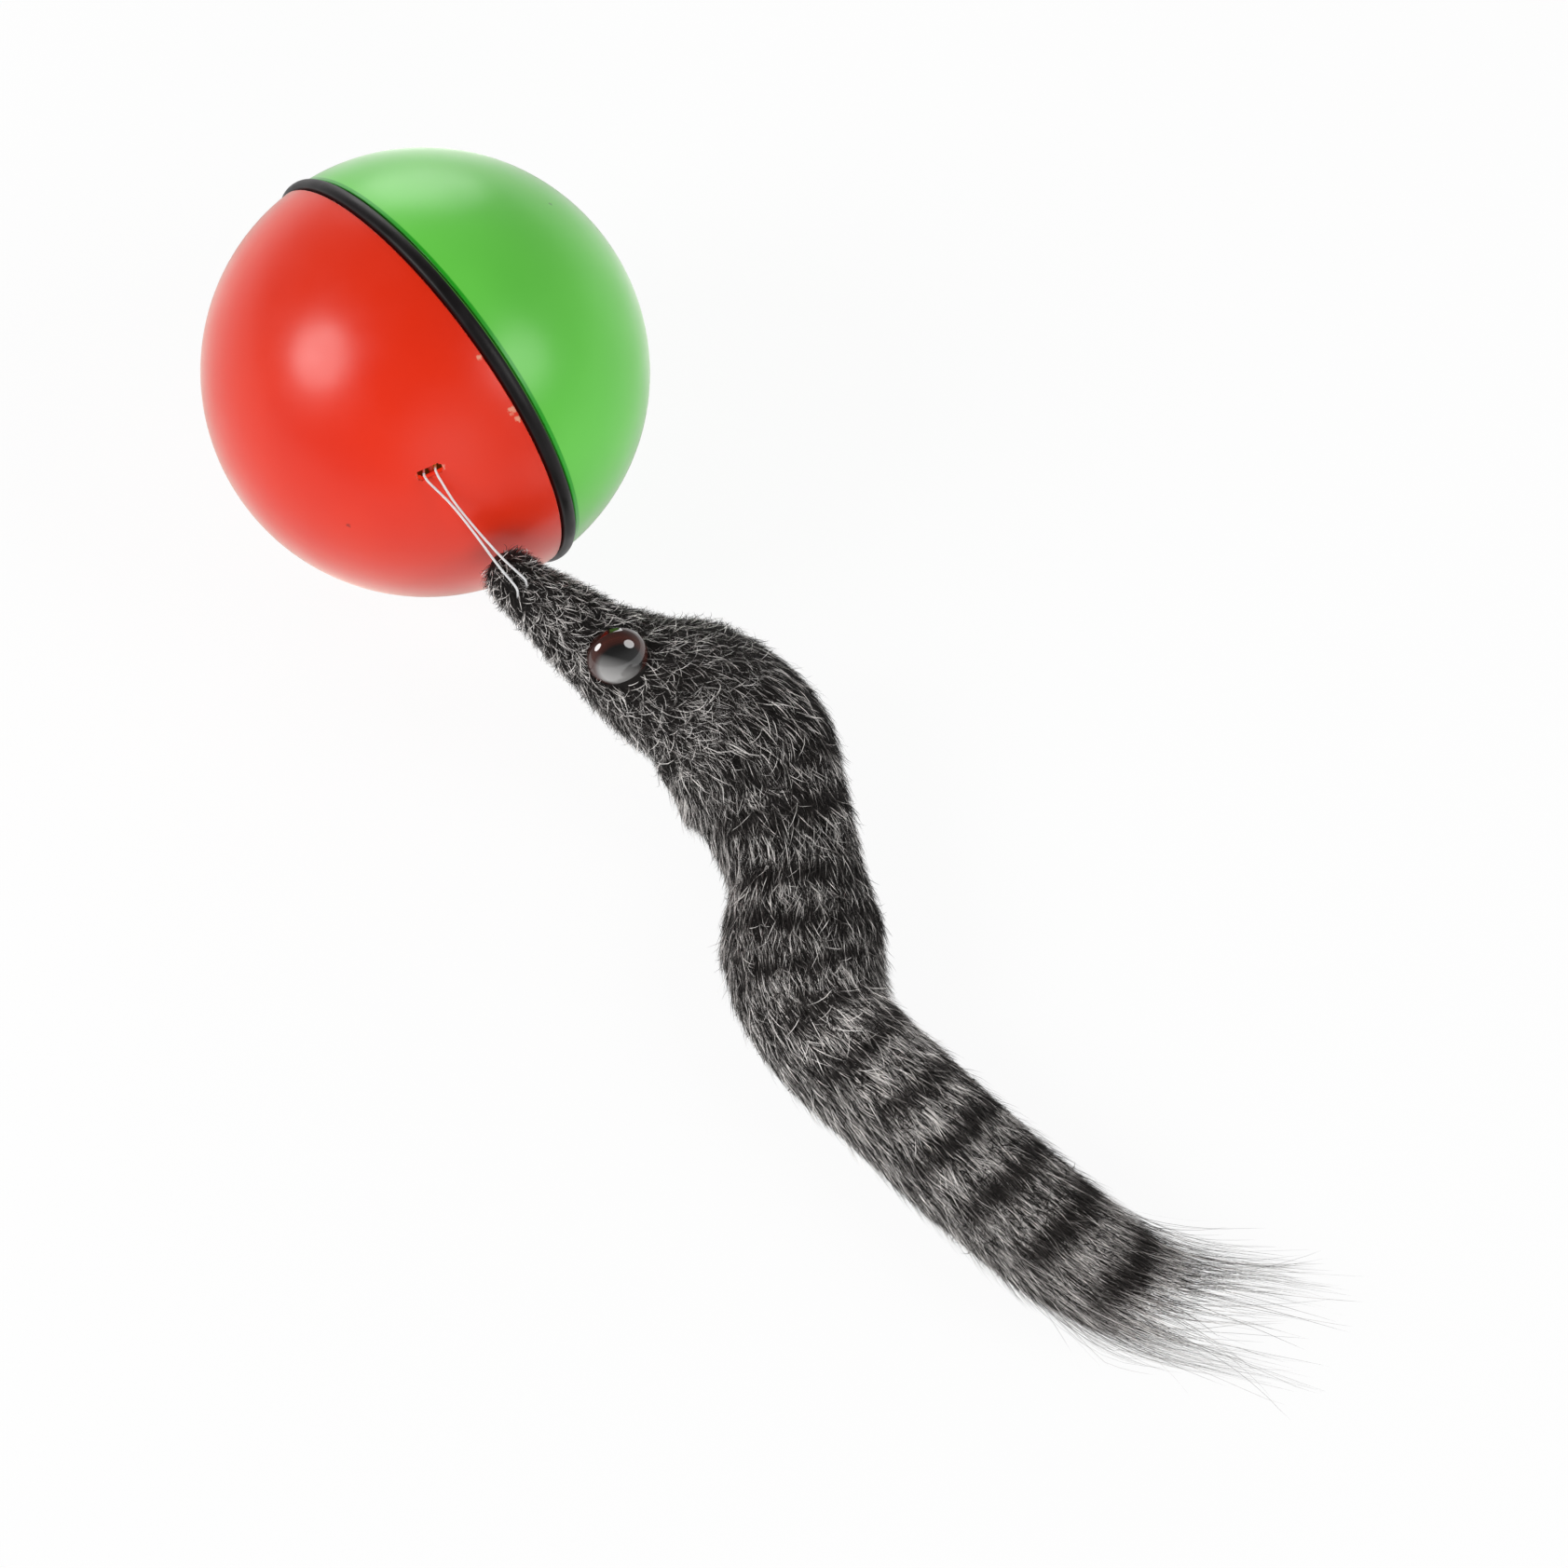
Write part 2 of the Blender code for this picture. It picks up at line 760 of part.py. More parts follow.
def make_axles(material):
    """Steel axles through the plate, two of them into the cover's end."""
    axles = []
    for name, place in zip(("gear_axle_1", "gear_axle_2"), gear_places()):
        axles.append(rod(name, place, axle_radius, cover_outer, plate_rear, bore_facets, material))
    tip = layer_start(2) - output_bore_depth + axle_clearance
    axles.append(rod("output_pivot", axis_point, axle_radius, tip, plate_rear, bore_facets, material))
    return axles


def make_screw(name, length, material):
    """A slotted pan-head screw along Y, with its seat at the origin and its tip towards +Y."""
    lift = -case_clearance
    top = lift - screw_head_height
    profile = [
        (top, 0),
        (top, screw_head_diameter / 2 * screw_crown_share),
        (lift - screw_head_height / 2, screw_head_diameter / 2),
        (lift, screw_head_diameter / 2),
        (lift, screw_diameter / 2),
        (length - screw_diameter / 2, screw_diameter / 2),
        (length, 0),
    ]
    screw = revolve(name, profile, screw_facets, material)
    slot = along(screw_head_diameter + overrun, 2 * screw_slot_depth, screw_slot_width)
    return cut(screw, block("slot", Vector((0, top, 0)), slot, material))


def make_gearbox_screws(material):
    """Three screws through the cover and the plate."""
    screws = []
    for i, place in enumerate(gearbox_ears()):
        screw = make_screw(f"gearbox_screw_{i + 1}", plate_rear - cover_outer - case_clearance, material)
        screw.data.transform(Matrix.Translation((place.x, cover_outer, place.y)))
        screws.append(screw)
    return screws


def make_case_screws(material):
    """Four upright screws through the case's ears, with their heads on the cover's side."""
    screws = []
    for i, place in enumerate(case_ears()):
        screw = make_screw(f"case_screw_{i + 1}", 2 * case_ear_height - case_clearance, material)
        seat = Vector((place.x, place.y, case_ear_height - split_drop))
        screw.data.transform(Matrix.Translation(seat) @ Matrix.Rotation(-math.pi / 2, 4, "X"))
        screws.append(screw)
    return screws


# Drive unit: case


def tube_circles(wall, growth):
    """The battery's bay, with a channel for the leads on top."""
    channel = Vector((channel_place(0).x, channel_place(0).z))
    bay = battery_radius + battery_clearance
    return [(battery_point, bay + wall + growth), (channel, lead_channel + wall + growth)]


def room_circles(wall, growth):
    """The bay that holds the battery's middle, the motor and the switch."""
    circles = tube_circles(wall, growth + case_step)
    circles.append((motor_point, motor_radius + motor_clearance + wall + growth))
    circles.append((axis_point, pivot_arm_radius - case_wall + wall))
    circles.append((Vector((-switch_side - switch_length / 4, -switch_drop)), switch_height + wall))
    return circles


def make_case_shell(name, material):
    """The whole hollow case, before it is split into its base and its cover."""
    shell = prism(name, hull(room_circles(case_wall, 0)), case_front, case_rear + case_wall, material)
    weld(shell, prism("tube", hull(tube_circles(case_wall, 0)), -tube_half, tube_half, material))
    arm = hull([(battery_point, battery_radius), (axis_point, pivot_arm_radius)])
    weld(shell, prism("arm", arm, tube_half - pivot_arm_thickness, tube_half - case_step, material))
    add_ears(shell, material)
    hole = screw_diameter / 2 + case_clearance
    low = -split_drop - 2 * case_ear_height
    high = 2 * case_ear_height - split_drop
    for ear in case_ears():
        cut(shell, upright_rod("hole", ear, hole, low, high, screw_facets, material))
    cut(shell, prism("room", hull(room_circles(0, 0)), case_front + case_wall, case_rear, material))
    cut(shell, prism("bay", hull(tube_circles(0, 0)), -bay_half, bay_half, material))
    start = case_front - overrun
    end = case_front + case_wall + overrun
    return cut(shell, rod("hole", motor_point, motor_boss_hole, start, end, boss_facets, material))


def split_case(shell, side, material):
    """Keeps the part of the case above (+1) or below (-1) its parting plane."""
    size = 4 * ball_radius
    shift = size / 2 - case_clearance / 2
    middle = Vector((0, 0, -split_drop - side * shift))
    return cut(shell, block("half", middle, along(size, size, size), material))


def case_ears():
    """The four screw places in the parting plane, as (x, y)."""
    left = -battery_side - battery_radius - battery_clearance - case_wall - case_ear
    right = motor_side + motor_radius + motor_clearance + case_wall + case_ear
    return [Vector((x, y)) for x in (left, right) for y in (-case_ear_place, case_ear_place)]


def upright_rod(name, place, radius, bottom, top, facets, material):
    """A round rod along Z at an (x, y) place."""
    post = rod(name, axis_point, radius, bottom, top, facets, material)
    post.data.transform(Matrix.Translation((place.x, place.y, 0)) @ Matrix.Rotation(math.pi / 2, 4, "X"))
    return post


def add_ears(shell, material):
    """Ears for the case screws, half above and half below the parting plane."""
    low = case_step - split_drop - case_ear_height
    high = case_ear_height - split_drop - case_step
    for ear in case_ears():
        inward = -math.copysign(case_ear + 2 * case_wall, ear.x)
        middle = Vector((ear.x + inward / 2, ear.y, -split_drop))
        weld(shell, block("web", middle, along(inward, 2 * case_ear, 2 * case_ear_height), material))
        weld(shell, upright_rod("ear", ear, case_ear, low, high, boss_facets, material))
    return shell


def make_case_base(material):
    return split_case(make_case_shell("drive_case_base", material), -1, material)


def make_case_cover(material):
    """The upper part, with the switch's window and the seat of the pivot pin."""
    cover = split_case(make_case_shell("drive_case_cover", material), 1, material)
    width = knob_length + switch_travel + 2 * case_clearance
    window = along(width, case_wall + 2 * overrun, knob_height + 2 * case_clearance)
    middle = Vector((-switch_side, case_rear + case_wall / 2, -switch_drop))
    cut(cover, block("window", middle, window, material))
    start = tube_half - pin_seat
    seat = pin_diameter / 2 + running_clearance
    return cut(cover, rod("seat", axis_point, seat, start, tube_half + overrun, boss_facets, material))


def make_battery(material):
    """One cell with its nub towards the green pole."""
    end = battery_start + battery_length
    shoulder = end - battery_nub_length
    profile = [
        (battery_start, 0),
        (battery_start, battery_radius - battery_edge),
        (battery_start + battery_edge, battery_radius),
        (shoulder - battery_edge, battery_radius),
        (shoulder, battery_radius - battery_edge),
        (shoulder, battery_nub_diameter / 2),
        (end, battery_nub_diameter / 2),
        (end, 0),
    ]
    return revolve("battery_cell", profile, boss_facets, material, battery_point)


def make_contact_spring(material):
    """The negative contact: a conical coil, read at ten points a turn."""
    start = -bay_half + case_clearance + spring_wire / 2
    points = []
    for i in range(spring_turns * 10 + 1):
        share = i / (spring_turns * 10)
        radius = spring_wide_radius + (spring_narrow_radius - spring_wide_radius) * share
        turn = around_axis(start + spring_pitch * spring_turns * share, radius, 2 * math.pi * i / 10)
        points.append(turn + Vector((battery_point.x, 0, battery_point.y)))
    gap = min((points[i] - points[i + 10]).length for i in range(len(points) - 10)) - spring_wire
    print("contact spring's least gap to itself, mm:", round(gap * 1000, 3))
    return tube("contact_spring", points, spring_wire, 1, material)


def make_contact_plate(material):
    """The positive contact, a sprung plate with a dimple that meets the nub."""
    end = bay_half - case_clearance
    middle = Vector((battery_point.x, end - contact_thickness / 2, battery_point.y))
    return block("contact_plate", middle, along(contact_size, contact_thickness, contact_size), material)


# Drive unit: motor, switch, pin and leads


def motor_outline():
    """A round can with two flats."""
    half = motor_flats / 2
    corner = math.acos(half / motor_radius)
    points = []
    for side in (0, math.pi):
        for i in range(9):
            a = side + (i / 4 - 1) * (math.pi / 2 - corner)
            points.append(motor_point + Vector((math.sin(a), math.cos(a))) * motor_radius)
    return points


def make_motor_can(material):
    """The steel can with its front boss and the bore of its shaft."""
    can = prism("motor_can", motor_outline(), motor_front, motor_front + motor_length, material)
    start = motor_front - motor_boss_length
    boss = motor_boss_diameter / 2
    weld(can, rod("boss", motor_point, boss, start, motor_front + overrun, boss_facets, material))
    bore = motor_shaft_radius + axle_clearance
    floor = motor_front + motor_shaft_depth
    return cut(can, rod("bore", motor_point, bore, start - overrun, floor, bore_facets, material))


def make_motor_cap(material):
    """The plastic end cap, with two terminals."""
    start = motor_front + motor_length + case_clearance
    cap = prism("motor_end_cap", motor_outline(), start, motor_rear, material)
    tab = along(terminal_width, 2 * terminal_height, contact_thickness)
    for side in (-0.5, 0.5):
        middle = Vector((motor_point.x, motor_rear, motor_point.y + side * terminal_spacing))
        weld(cap, block("tab", middle, tab, material))
    return cap


def make_motor_shaft(material):
    start = layer_start(0) - gear_face
    end = motor_front + motor_shaft_depth - axle_clearance
    return rod("motor_shaft", motor_point, motor_shaft_radius, start, end, bore_facets, material)


def switch_near():
    return case_rear - knob_foot - 2 * case_clearance


def make_switch_body(material):
    """The slide switch, behind the window in the case's end wall."""
    middle = Vector((-switch_side, switch_near() - switch_depth / 2, -switch_drop))
    return block("switch_body", middle, along(switch_length, switch_depth, switch_height), material)


def knob_place():
    return Vector((-switch_side - switch_travel / 2, case_rear + case_wall, -switch_drop))


def make_switch_knob(material):
    """The knob in its off place, with a foot that the case's wall keeps in."""
    place = knob_place()
    foot = case_rear - case_clearance
    length = place.y + knob_proud - foot + knob_foot / 2
    middle = Vector((place.x, place.y + knob_proud - length / 2, place.z))
    knob = block("switch_knob", middle, along(knob_length, length, knob_height), material)
    lip = Vector((place.x, foot - knob_foot / 2, place.z))
    tall = knob_height + 2 * knob_foot_lip + 2 * case_clearance
    sides = along(knob_length + knob_foot_lip, knob_foot, tall)
    return weld(knob, block("foot", lip, sides, material))


def make_pivot_pin(material):
    start = tube_half - pin_seat + running_clearance
    end = (pivot_boss_face + bush_length - running_clearance) / drive_scale()
    return rod("pivot_pin", axis_point, pin_diameter / 2, start, end, boss_facets, material)


def make_pivot_bush(material):
    inner = bush_bore()
    start = pivot_boss_face
    end = pivot_boss_face + bush_length
    profile = [(start, inner), (start, inner + bush_wall), (end, inner + bush_wall), (end, inner)]
    return revolve("pivot_bush", profile, boss_facets, material)


def channel_place(y):
    """A place in the lead channel above the battery."""
    rise = battery_radius + battery_clearance + lead_channel / 2
    return Vector((battery_point.x, y, battery_point.y + rise))


def make_lead(name, places, material):
    return tube(name, smooth_route(places, 2.2 * lead_diameter), lead_diameter, 1, material)


def make_supply_lead(material):
    """From the positive contact along the channel, then round into the switch's inner end."""
    face = switch_near() - switch_depth - case_clearance
    end = Vector((lead_diameter - switch_side - switch_length / 2, face, -switch_drop))
    bend = (end - channel_place(face)).length / 2
    places = [
        channel_place(battery_start + battery_length - battery_nub_length),
        channel_place(case_rear),
        channel_place(face - bend / 2),
        (channel_place(face) + end) / 2 - Vector((0, 3 * bend / 2, 0)),
        end - Vector((0, bend / 2, 0)),
        end,
    ]
    return make_lead("lead_supply", places, material)


def make_return_lead(material):
    """From the spring along the channel, down between the cell and the motor, to the lower terminal."""
    between = (battery_radius - battery_side + motor_side - motor_flats / 2) / 2
    behind = motor_rear + lead_diameter / 2 + case_clearance
    terminal = motor_point.y - terminal_spacing / 2
    last = motor_point.x - terminal_width / 2 - case_clearance
    start = channel_place(0)
    places = [
        channel_place(battery_start),
        channel_place(case_front),
        Vector(((start.x + between) / 2, motor_front / 2, start.z)),
        Vector((between, 0, (start.z * 2 + terminal) / 3)),
        Vector((between, motor_rear * 0.55, terminal)),
        Vector((between, motor_rear * 0.9, terminal)),
        Vector((between + lead_diameter * 1.4, behind, terminal)),
        Vector((last, behind, terminal)),
    ]
    return make_lead("lead_return", places, material)


def make_switch_lead(material):
    """From the switch to the motor's upper terminal."""
    face = switch_near() - switch_depth - case_clearance
    behind = motor_rear + lead_diameter / 2 + case_clearance
    terminal = motor_point.y + terminal_spacing / 2
    last = motor_point.x - terminal_width / 2 - case_clearance
    side = motor_side - motor_flats / 2 - lead_diameter
    places = [
        Vector((side - lead_diameter, face, -switch_drop)),
        Vector((side - lead_diameter, face - lead_diameter, -switch_drop)),
        Vector((side - lead_diameter / 2, face - 2.4 * lead_diameter, (terminal - switch_drop) / 2)),
        Vector((side, face - lead_diameter, terminal)),
        Vector((side, motor_rear * 0.9, terminal)),
        Vector((side + lead_diameter * 1.4, behind, terminal)),
        Vector((last, behind, terminal)),
    ]
    return make_lead("lead_switch", places, material)


# Line, toggle and anchor


def make_toggle(material):
    """The bar inside the slot that the line is looped round."""
    out, long, short = slot_frame()
    half = toggle_length / 2
    bar = rod("line_toggle", axis_point, toggle_diameter / 2, -half, half, bore_facets, material)
    turn = Matrix((long, short, out)).transposed().to_4x4()
    bar.data.transform(Matrix.Translation(out * toggle_depth) @ turn)
    bar.data.update()
    return bar


def make_anchor(material):
    """The line's inner end: up from the slot's mouth, round the toggle and out again."""
    out, long, short = slot_frame()
    mouth = ball_radius - line_clearance
    floor = toggle_depth
    points = [out * mouth + long * strand_half, out * (mouth + floor) / 2 + long * strand_half]
    for i in range(9):
        a = math.pi * i / 8
        points.append(out * (floor - strand_half * math.sin(a)) + long * strand_half * math.cos(a))
    points += [out * (mouth + floor) / 2 - long * strand_half, out * mouth - long * strand_half]
    return tube("line_anchor", points, line_diameter, 1, material)


def stitch_place():
    """Where the line's loop dives into the snout, a little to one side of its top."""
    middle, across, over, width, depth = station(stitch_share)
    rise = Vector((0, 0, depth * math.cos(stitch_tilt) / over.z))
    return middle + across * width * math.sin(stitch_tilt) + rise


def make_tie_line(material):
    """One nylon loop from the slot's mouth to the stitch in the snout and back."""
    out, long, short = slot_frame()
    mouth = out * (ball_radius + line_clearance / 2)
    top = stitch_place()
    away = (top - mouth).normalized()
    side = away.cross(Vector((0, 0, 1))).normalized()
    floor = top.z - stitch_depth + line_clearance + line_diameter
    spread = stitch_radius - line_clearance - line_diameter / 2
    above = top.z + line_rise
    route = []
    for sign in (1, -1):
        foot = Vector((top.x, top.y, 0)) + side * spread * -sign
        strand = [
            mouth + long * strand_half * sign,
            mouth + long * strand_half * sign * 0.9 + (away * 1.4 + out) * line_rise,
            (mouth * 3 + top) / 4 + out * line_rise + side * strand_near * -sign,
            (mouth + top) / 2 + out * line_rise + side * strand_near * -sign,
            (mouth + top * 3) / 4 + out * line_rise * 0.8 + side * (strand_near + spread) / 2 * -sign,
            foot - away * line_rise + Vector((0, 0, above)),
            foot + Vector((0, 0, top.z)),
            foot + Vector((0, 0, (top.z + floor + spread) / 2)),
            foot + Vector((0, 0, floor + spread)),
        ]
        route.append(strand)
    turn = []
    for i in range(1, 6):
        a = math.pi * i / 6
        low = Vector((top.x, top.y, floor + spread - spread * math.sin(a)))
        turn.append(low - side * spread * math.cos(a))
    places = route[0] + turn + route[1][::-1]
    return tube("tie_line", smooth_route(places, 2.6 * line_diameter), line_diameter, 1, material)


# Creature


def nose_place():
    """The nose's tip, seen from the ball's centre."""
    reach = ball_radius + nose_gap
    return around_axis(-math.sin(nose_latitude) * reach, math.cos(nose_latitude) * reach, nose_longitude)


def lying_height():
    """The lying body's axis, counted from the ball's centre."""
    return body_depth / 2 - floor_flat - ball_height


def spine_row(index):
    forward, sideways, lift, width, depth = spine_shares[min(max(index, 0), len(spine_shares) - 1)]
    nose = nose_place()
    height = lying_height() + lift * (nose.z - lying_height())
    place = Vector((nose.x + forward * creature_reach, nose.y + sideways * creature_reach, height))
    return place, Vector((width * body_width, depth * body_depth, 0))


def station(share):
    """The spine's place, its sideways and upward directions and its half sizes at a station."""
    index = min(int(share), len(spine_shares) - 2)
    t = share - index
    rows = [spine_row(index + k) for k in (-1, 0, 1, 2)]
    middle = blend_points(*[row[0] for row in rows], t)
    size = blend_points(*[row[1] for row in rows], t)
    way = spine_way(share)
    across = way.cross(Vector((0, 0, 1))).normalized()
    return middle, across, across.cross(way), size.x, size.y


def spine_point(share):
    index = min(max(int(share), 0), len(spine_shares) - 2)
    return blend_points(*[spine_row(index + k)[0] for k in (-1, 0, 1, 2)], share - index)


def spine_way(share):
    low = max(share - 0.05, 0)
    high = min(share + 0.05, len(spine_shares) - 1)
    return (spine_point(high) - spine_point(low)).normalized()


def section(bm, share, shift, size_share=1.0):
    """One ring of the body, square to the spine."""
    middle, across, over, width, depth = station(share)
    middle = middle + spine_way(share) * shift
    ring = []
    for i in range(section_points):
        a = 2 * math.pi * i / section_points
        reach = across * width * math.cos(a) + over * depth * math.sin(a)
        ring.append(bm.verts.new(middle + reach * size_share))
    return ring


def make_body_piece(name, start, end, steps, material):
    """A stretch of the stuffed body, with flat ends a small gap from its neighbours."""
    bm = bmesh.new()
    rings = []
    for i in range(steps + 1):
        shift = piece_gap / 2 * (1 if i == 0 else -1 if i == steps else 0)
        rings.append(section(bm, start + (end - start) * i / steps, shift))
    for first, second in zip(rings, rings[1:]):
        join_rings(bm, first, second)
    bm.faces.new(rings[0])
    bm.faces.new(rings[-1])
    return rest_flat(to_object(name, bm, material), material)


def make_head(end, material):
    """The snout and head: a round nose widening to the cheeks, with seats for the eyes and the stitch."""
    bm = bmesh.new()
    tip = bm.verts.new(spine_point(0))
    rings = []
    for share in (0.06, 0.16, 0.34, 0.6):
        reach = min(1.0, (spine_point(share) - spine_point(0)).length / nose_round)
        rings.append(section(bm, share, 0, math.sqrt(1 - (1 - reach) ** 2)))
    steps = 7
    for i in range(steps + 1):
        share = 1 + (end - 1) * i / steps
        rings.append(section(bm, share, -piece_gap / 2 if i == steps else 0))
    join_rings(bm, [tip], rings[0])
    for first, second in zip(rings, rings[1:]):
        join_rings(bm, first, second)
    bm.faces.new(rings[-1])
    head = to_object("creature_head", bm, material)
    top = stitch_place()
    stitch = rod("stitch", axis_point, stitch_radius, -stitch_depth, stitch_depth, bore_facets, material)
    stitch.data.transform(Matrix.Translation(top) @ Matrix.Rotation(math.pi / 2, 4, "X"))
    cut(head, stitch)
    for side in (1, -1):
        cut(head, make_eye("seat", side, eye_clearance, material))
    return head


def rest_flat(obj, material):
    """Cuts the underside level with the floor."""
    size = creature_reach
    middle = Vector((nose_place().x + size / 2, nose_place().y, -ball_height - size / 2))
    return cut(obj, block("floor", middle, along(2 * size, 2 * size, size), material))


def eye_frame(side):
    """An eye's seat on the cheek and the way it looks out, +1 for the upper cheek and -1 for the lower."""
    middle, across, over, width, depth = station(eye_place_share)
    out = (over * math.cos(eye_tilt) + across * math.sin(eye_tilt)) * side
    reach = 1 / math.sqrt((math.cos(eye_tilt) / depth) ** 2 + (math.sin(eye_tilt) / width) ** 2)
    return middle + out * reach * eye_seat_share, out


def make_eye(name, side, growth, material):
    """A glossy dome with a stem into the head. The same form, grown by a clearance, cuts its seat."""
    place, out = eye_frame(side)
    radius = eye_diameter / 2 + growth
    stem = eye_stem_diameter / 2 + growth
    end = -eye_stem_length - growth
    rim = eye_height * eye_rim_share
    profile = [(end, 0), (end, stem), (-growth, stem), (-growth, radius)]
    steps = 5
    for i in range(steps):
        a = math.pi / 2 * i / steps
        profile.append((rim + (eye_height + growth - rim) * math.sin(a), radius * math.cos(a)))
    profile.append((eye_height + growth, 0))
    eye = revolve(name, profile, eye_facets, material)
    turn = Vector((0, 1, 0)).rotation_difference(out).to_matrix().to_4x4()
    eye.data.transform(Matrix.Translation(place) @ turn)
    return eye


def make_creature(fur, eye_plastic):
    ends = piece_end_shares
    pieces = [make_head(ends["head"], fur)]
    pieces.append(make_body_piece("creature_shoulder", ends["head"], ends["shoulder"], 5, fur))
    pieces.append(make_body_piece("creature_middle", ends["shoulder"], ends["middle"], 6, fur))
    pieces.append(make_body_piece("creature_hind", ends["middle"], ends["hind"], 6, fur))
    pieces.append(make_body_piece("creature_tail", ends["hind"], ends["tail"], 6, fur))
    pieces.append(make_eye("eye_upper", 1, 0, eye_plastic))
    pieces.append(make_eye("eye_lower", -1, 0, eye_plastic))
    return pieces


# Assembly


def stand_on_floor(pivots):
    """Sets each object's origin on its joint, then hangs all from one empty on the footprint's middle."""
    bpy.context.view_layer.update()
    reach = [(obj.matrix_world @ Vector(corner)).x for obj, _ in pivots for corner in obj.bound_box]
    toy = bpy.data.objects.new("toy_on_floor", None)
    bpy.context.collection.objects.link(toy)
    toy.location = (-(min(reach) + max(reach)) / 2, 0, ball_height)
    for obj, pivot in pivots:
        obj.data.transform(Matrix.Translation(-pivot))
        obj.location = pivot
        obj.parent = toy
    report_places(toy)


def joint_places():
    """Where each joint's axis passes, from the ball's centre, and the middle of the belly's flat."""
    first, second = gear_places()
    return {
        "ball centre": Vector((0, 0, 0)),
        "line swing": slot_frame()[0] * ball_radius,
        "creature swing": stitch_place(),
        "first gear": Vector((first.x, 0, first.y)) * drive_scale(),
        "second gear": Vector((second.x, 0, second.y)) * drive_scale(),
        "motor": Vector((motor_point.x, 0, motor_point.y)) * drive_scale(),
        "knob": knob_place() * drive_scale(),
        "belly": spine_point(12),
    }


def report_places(toy):
    """Prints the joints' places in the finished frame, in metres, and the line's swing axis."""
    for name, place in joint_places().items():
        print(name, [round(v, 6) for v in toy.location + place])
    print("line swing axis", [round(v, 6) for v in swing_axis()])


def swing_axis():
    """The line lifts about a line across its own direction and the slot's outward one."""
    out = slot_frame()[0]
    return (stitch_place() - out * ball_radius).normalized().cross(out).normalized()


def main():
    clear_scene()
    red = make_material("red_plastic", (0.72, 0.035, 0.01), 0.32)
    green = make_material("green_plastic", (0.13, 0.52, 0.085), 0.32)
    rubber = make_material("black_rubber", (0.012, 0.012, 0.013), 0.5)
    case_plastic = make_material("case_plastic", (0.12, 0.12, 0.13), 0.45)
    white_plastic = make_material("white_plastic", (0.75, 0.74, 0.70), 0.4)
    gear_plastic = make_material("gear_plastic", (0.80, 0.78, 0.72), 0.35)
    steel = make_material("steel", (0.60, 0.60, 0.61), 0.3, 1.0)
    brass = make_material("brass", (0.70, 0.52, 0.22), 0.35, 1.0)
    cell = make_material("cell_jacket", (0.05, 0.16, 0.20), 0.35)
    nylon = make_material("nylon", (0.85, 0.86, 0.88), 0.2)
    fur = make_material("grey_fur", (0.16, 0.155, 0.15), 0.9)
    eye_plastic = make_material("brown_eye", (0.035, 0.012, 0.01), 0.08)
    red_lead = make_material("red_lead", (0.50, 0.02, 0.02), 0.5)
    black_lead = make_material("black_lead", (0.02, 0.02, 0.02), 0.5)

    first, second = gear_places()
    shells = [make_red_half(red), make_green_half(green), make_band(rubber)]
    shells += [make_drive_hub(white_plastic), make_pivot_bush(brass), make_toggle(steel), make_anchor(nylon)]
    unit = [make_case_base(case_plastic), make_case_cover(case_plastic)]
    unit += [make_gearbox_plate(case_plastic), make_gearbox_cover(case_plastic)]
    unit += make_axles(steel) + make_gearbox_screws(steel) + make_case_screws(steel)
    unit += [make_supply_lead(red_lead), make_switch_lead(red_lead), make_return_lead(black_lead)]
    unit += [make_battery(cell), make_contact_spring(steel), make_contact_plate(brass)]
    unit += [make_motor_can(steel), make_motor_cap(white_plastic)]
    unit += [make_switch_body(white_plastic), make_pivot_pin(steel), make_output_gear(second, gear_plastic)]
    gear_1 = make_compound_gear("gear_1", first, 0, motor_point, second, gear_plastic)
    gear_2 = make_compound_gear("gear_2", second, 1, first, axis_point, gear_plastic)
    rotor = [make_motor_shaft(steel), make_motor_pinion(first, gear_plastic)]
    knob = make_switch_knob(white_plastic)

    places = joint_places()
    parts = [(piece, places["ball centre"]) for piece in shells]
    parts += [(fitted(piece), places["ball centre"]) for piece in unit]
    parts += [(fitted(gear_1), places["first gear"]), (fitted(gear_2), places["second gear"])]
    parts += [(fitted(piece), places["motor"]) for piece in rotor]
    parts += [(fitted(knob), places["knob"]), (make_tie_line(nylon), places["line swing"])]
    parts += [(piece, places["creature swing"]) for piece in make_creature(fur, eye_plastic)]
    stand_on_floor(parts)


main()
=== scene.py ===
import json
import math

import bmesh
import bpy
import numpy as np
from mathutils import Matrix, Vector, kdtree


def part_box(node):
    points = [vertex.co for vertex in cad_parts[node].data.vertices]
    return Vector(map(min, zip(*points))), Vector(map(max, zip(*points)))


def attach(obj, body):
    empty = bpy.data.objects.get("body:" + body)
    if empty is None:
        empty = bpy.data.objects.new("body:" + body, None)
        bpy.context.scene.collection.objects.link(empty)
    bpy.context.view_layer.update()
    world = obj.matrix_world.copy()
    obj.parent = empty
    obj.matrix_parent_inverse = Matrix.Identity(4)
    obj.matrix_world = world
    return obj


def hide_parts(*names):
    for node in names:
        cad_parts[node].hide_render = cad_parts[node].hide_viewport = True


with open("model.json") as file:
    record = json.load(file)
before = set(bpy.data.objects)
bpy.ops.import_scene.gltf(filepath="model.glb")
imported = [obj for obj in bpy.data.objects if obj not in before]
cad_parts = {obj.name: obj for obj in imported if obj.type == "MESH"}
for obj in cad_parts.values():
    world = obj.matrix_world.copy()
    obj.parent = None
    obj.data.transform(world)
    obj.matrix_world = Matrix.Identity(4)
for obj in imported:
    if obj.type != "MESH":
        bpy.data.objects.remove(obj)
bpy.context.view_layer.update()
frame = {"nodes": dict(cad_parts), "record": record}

scene = bpy.context.scene
rng = np.random.default_rng(7)

band_low, band_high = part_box("equator_band")
BALL = (band_low + band_high) / 2
BALL_R = 0.041
WALL = 0.002


# Camera, as fitted to the photo

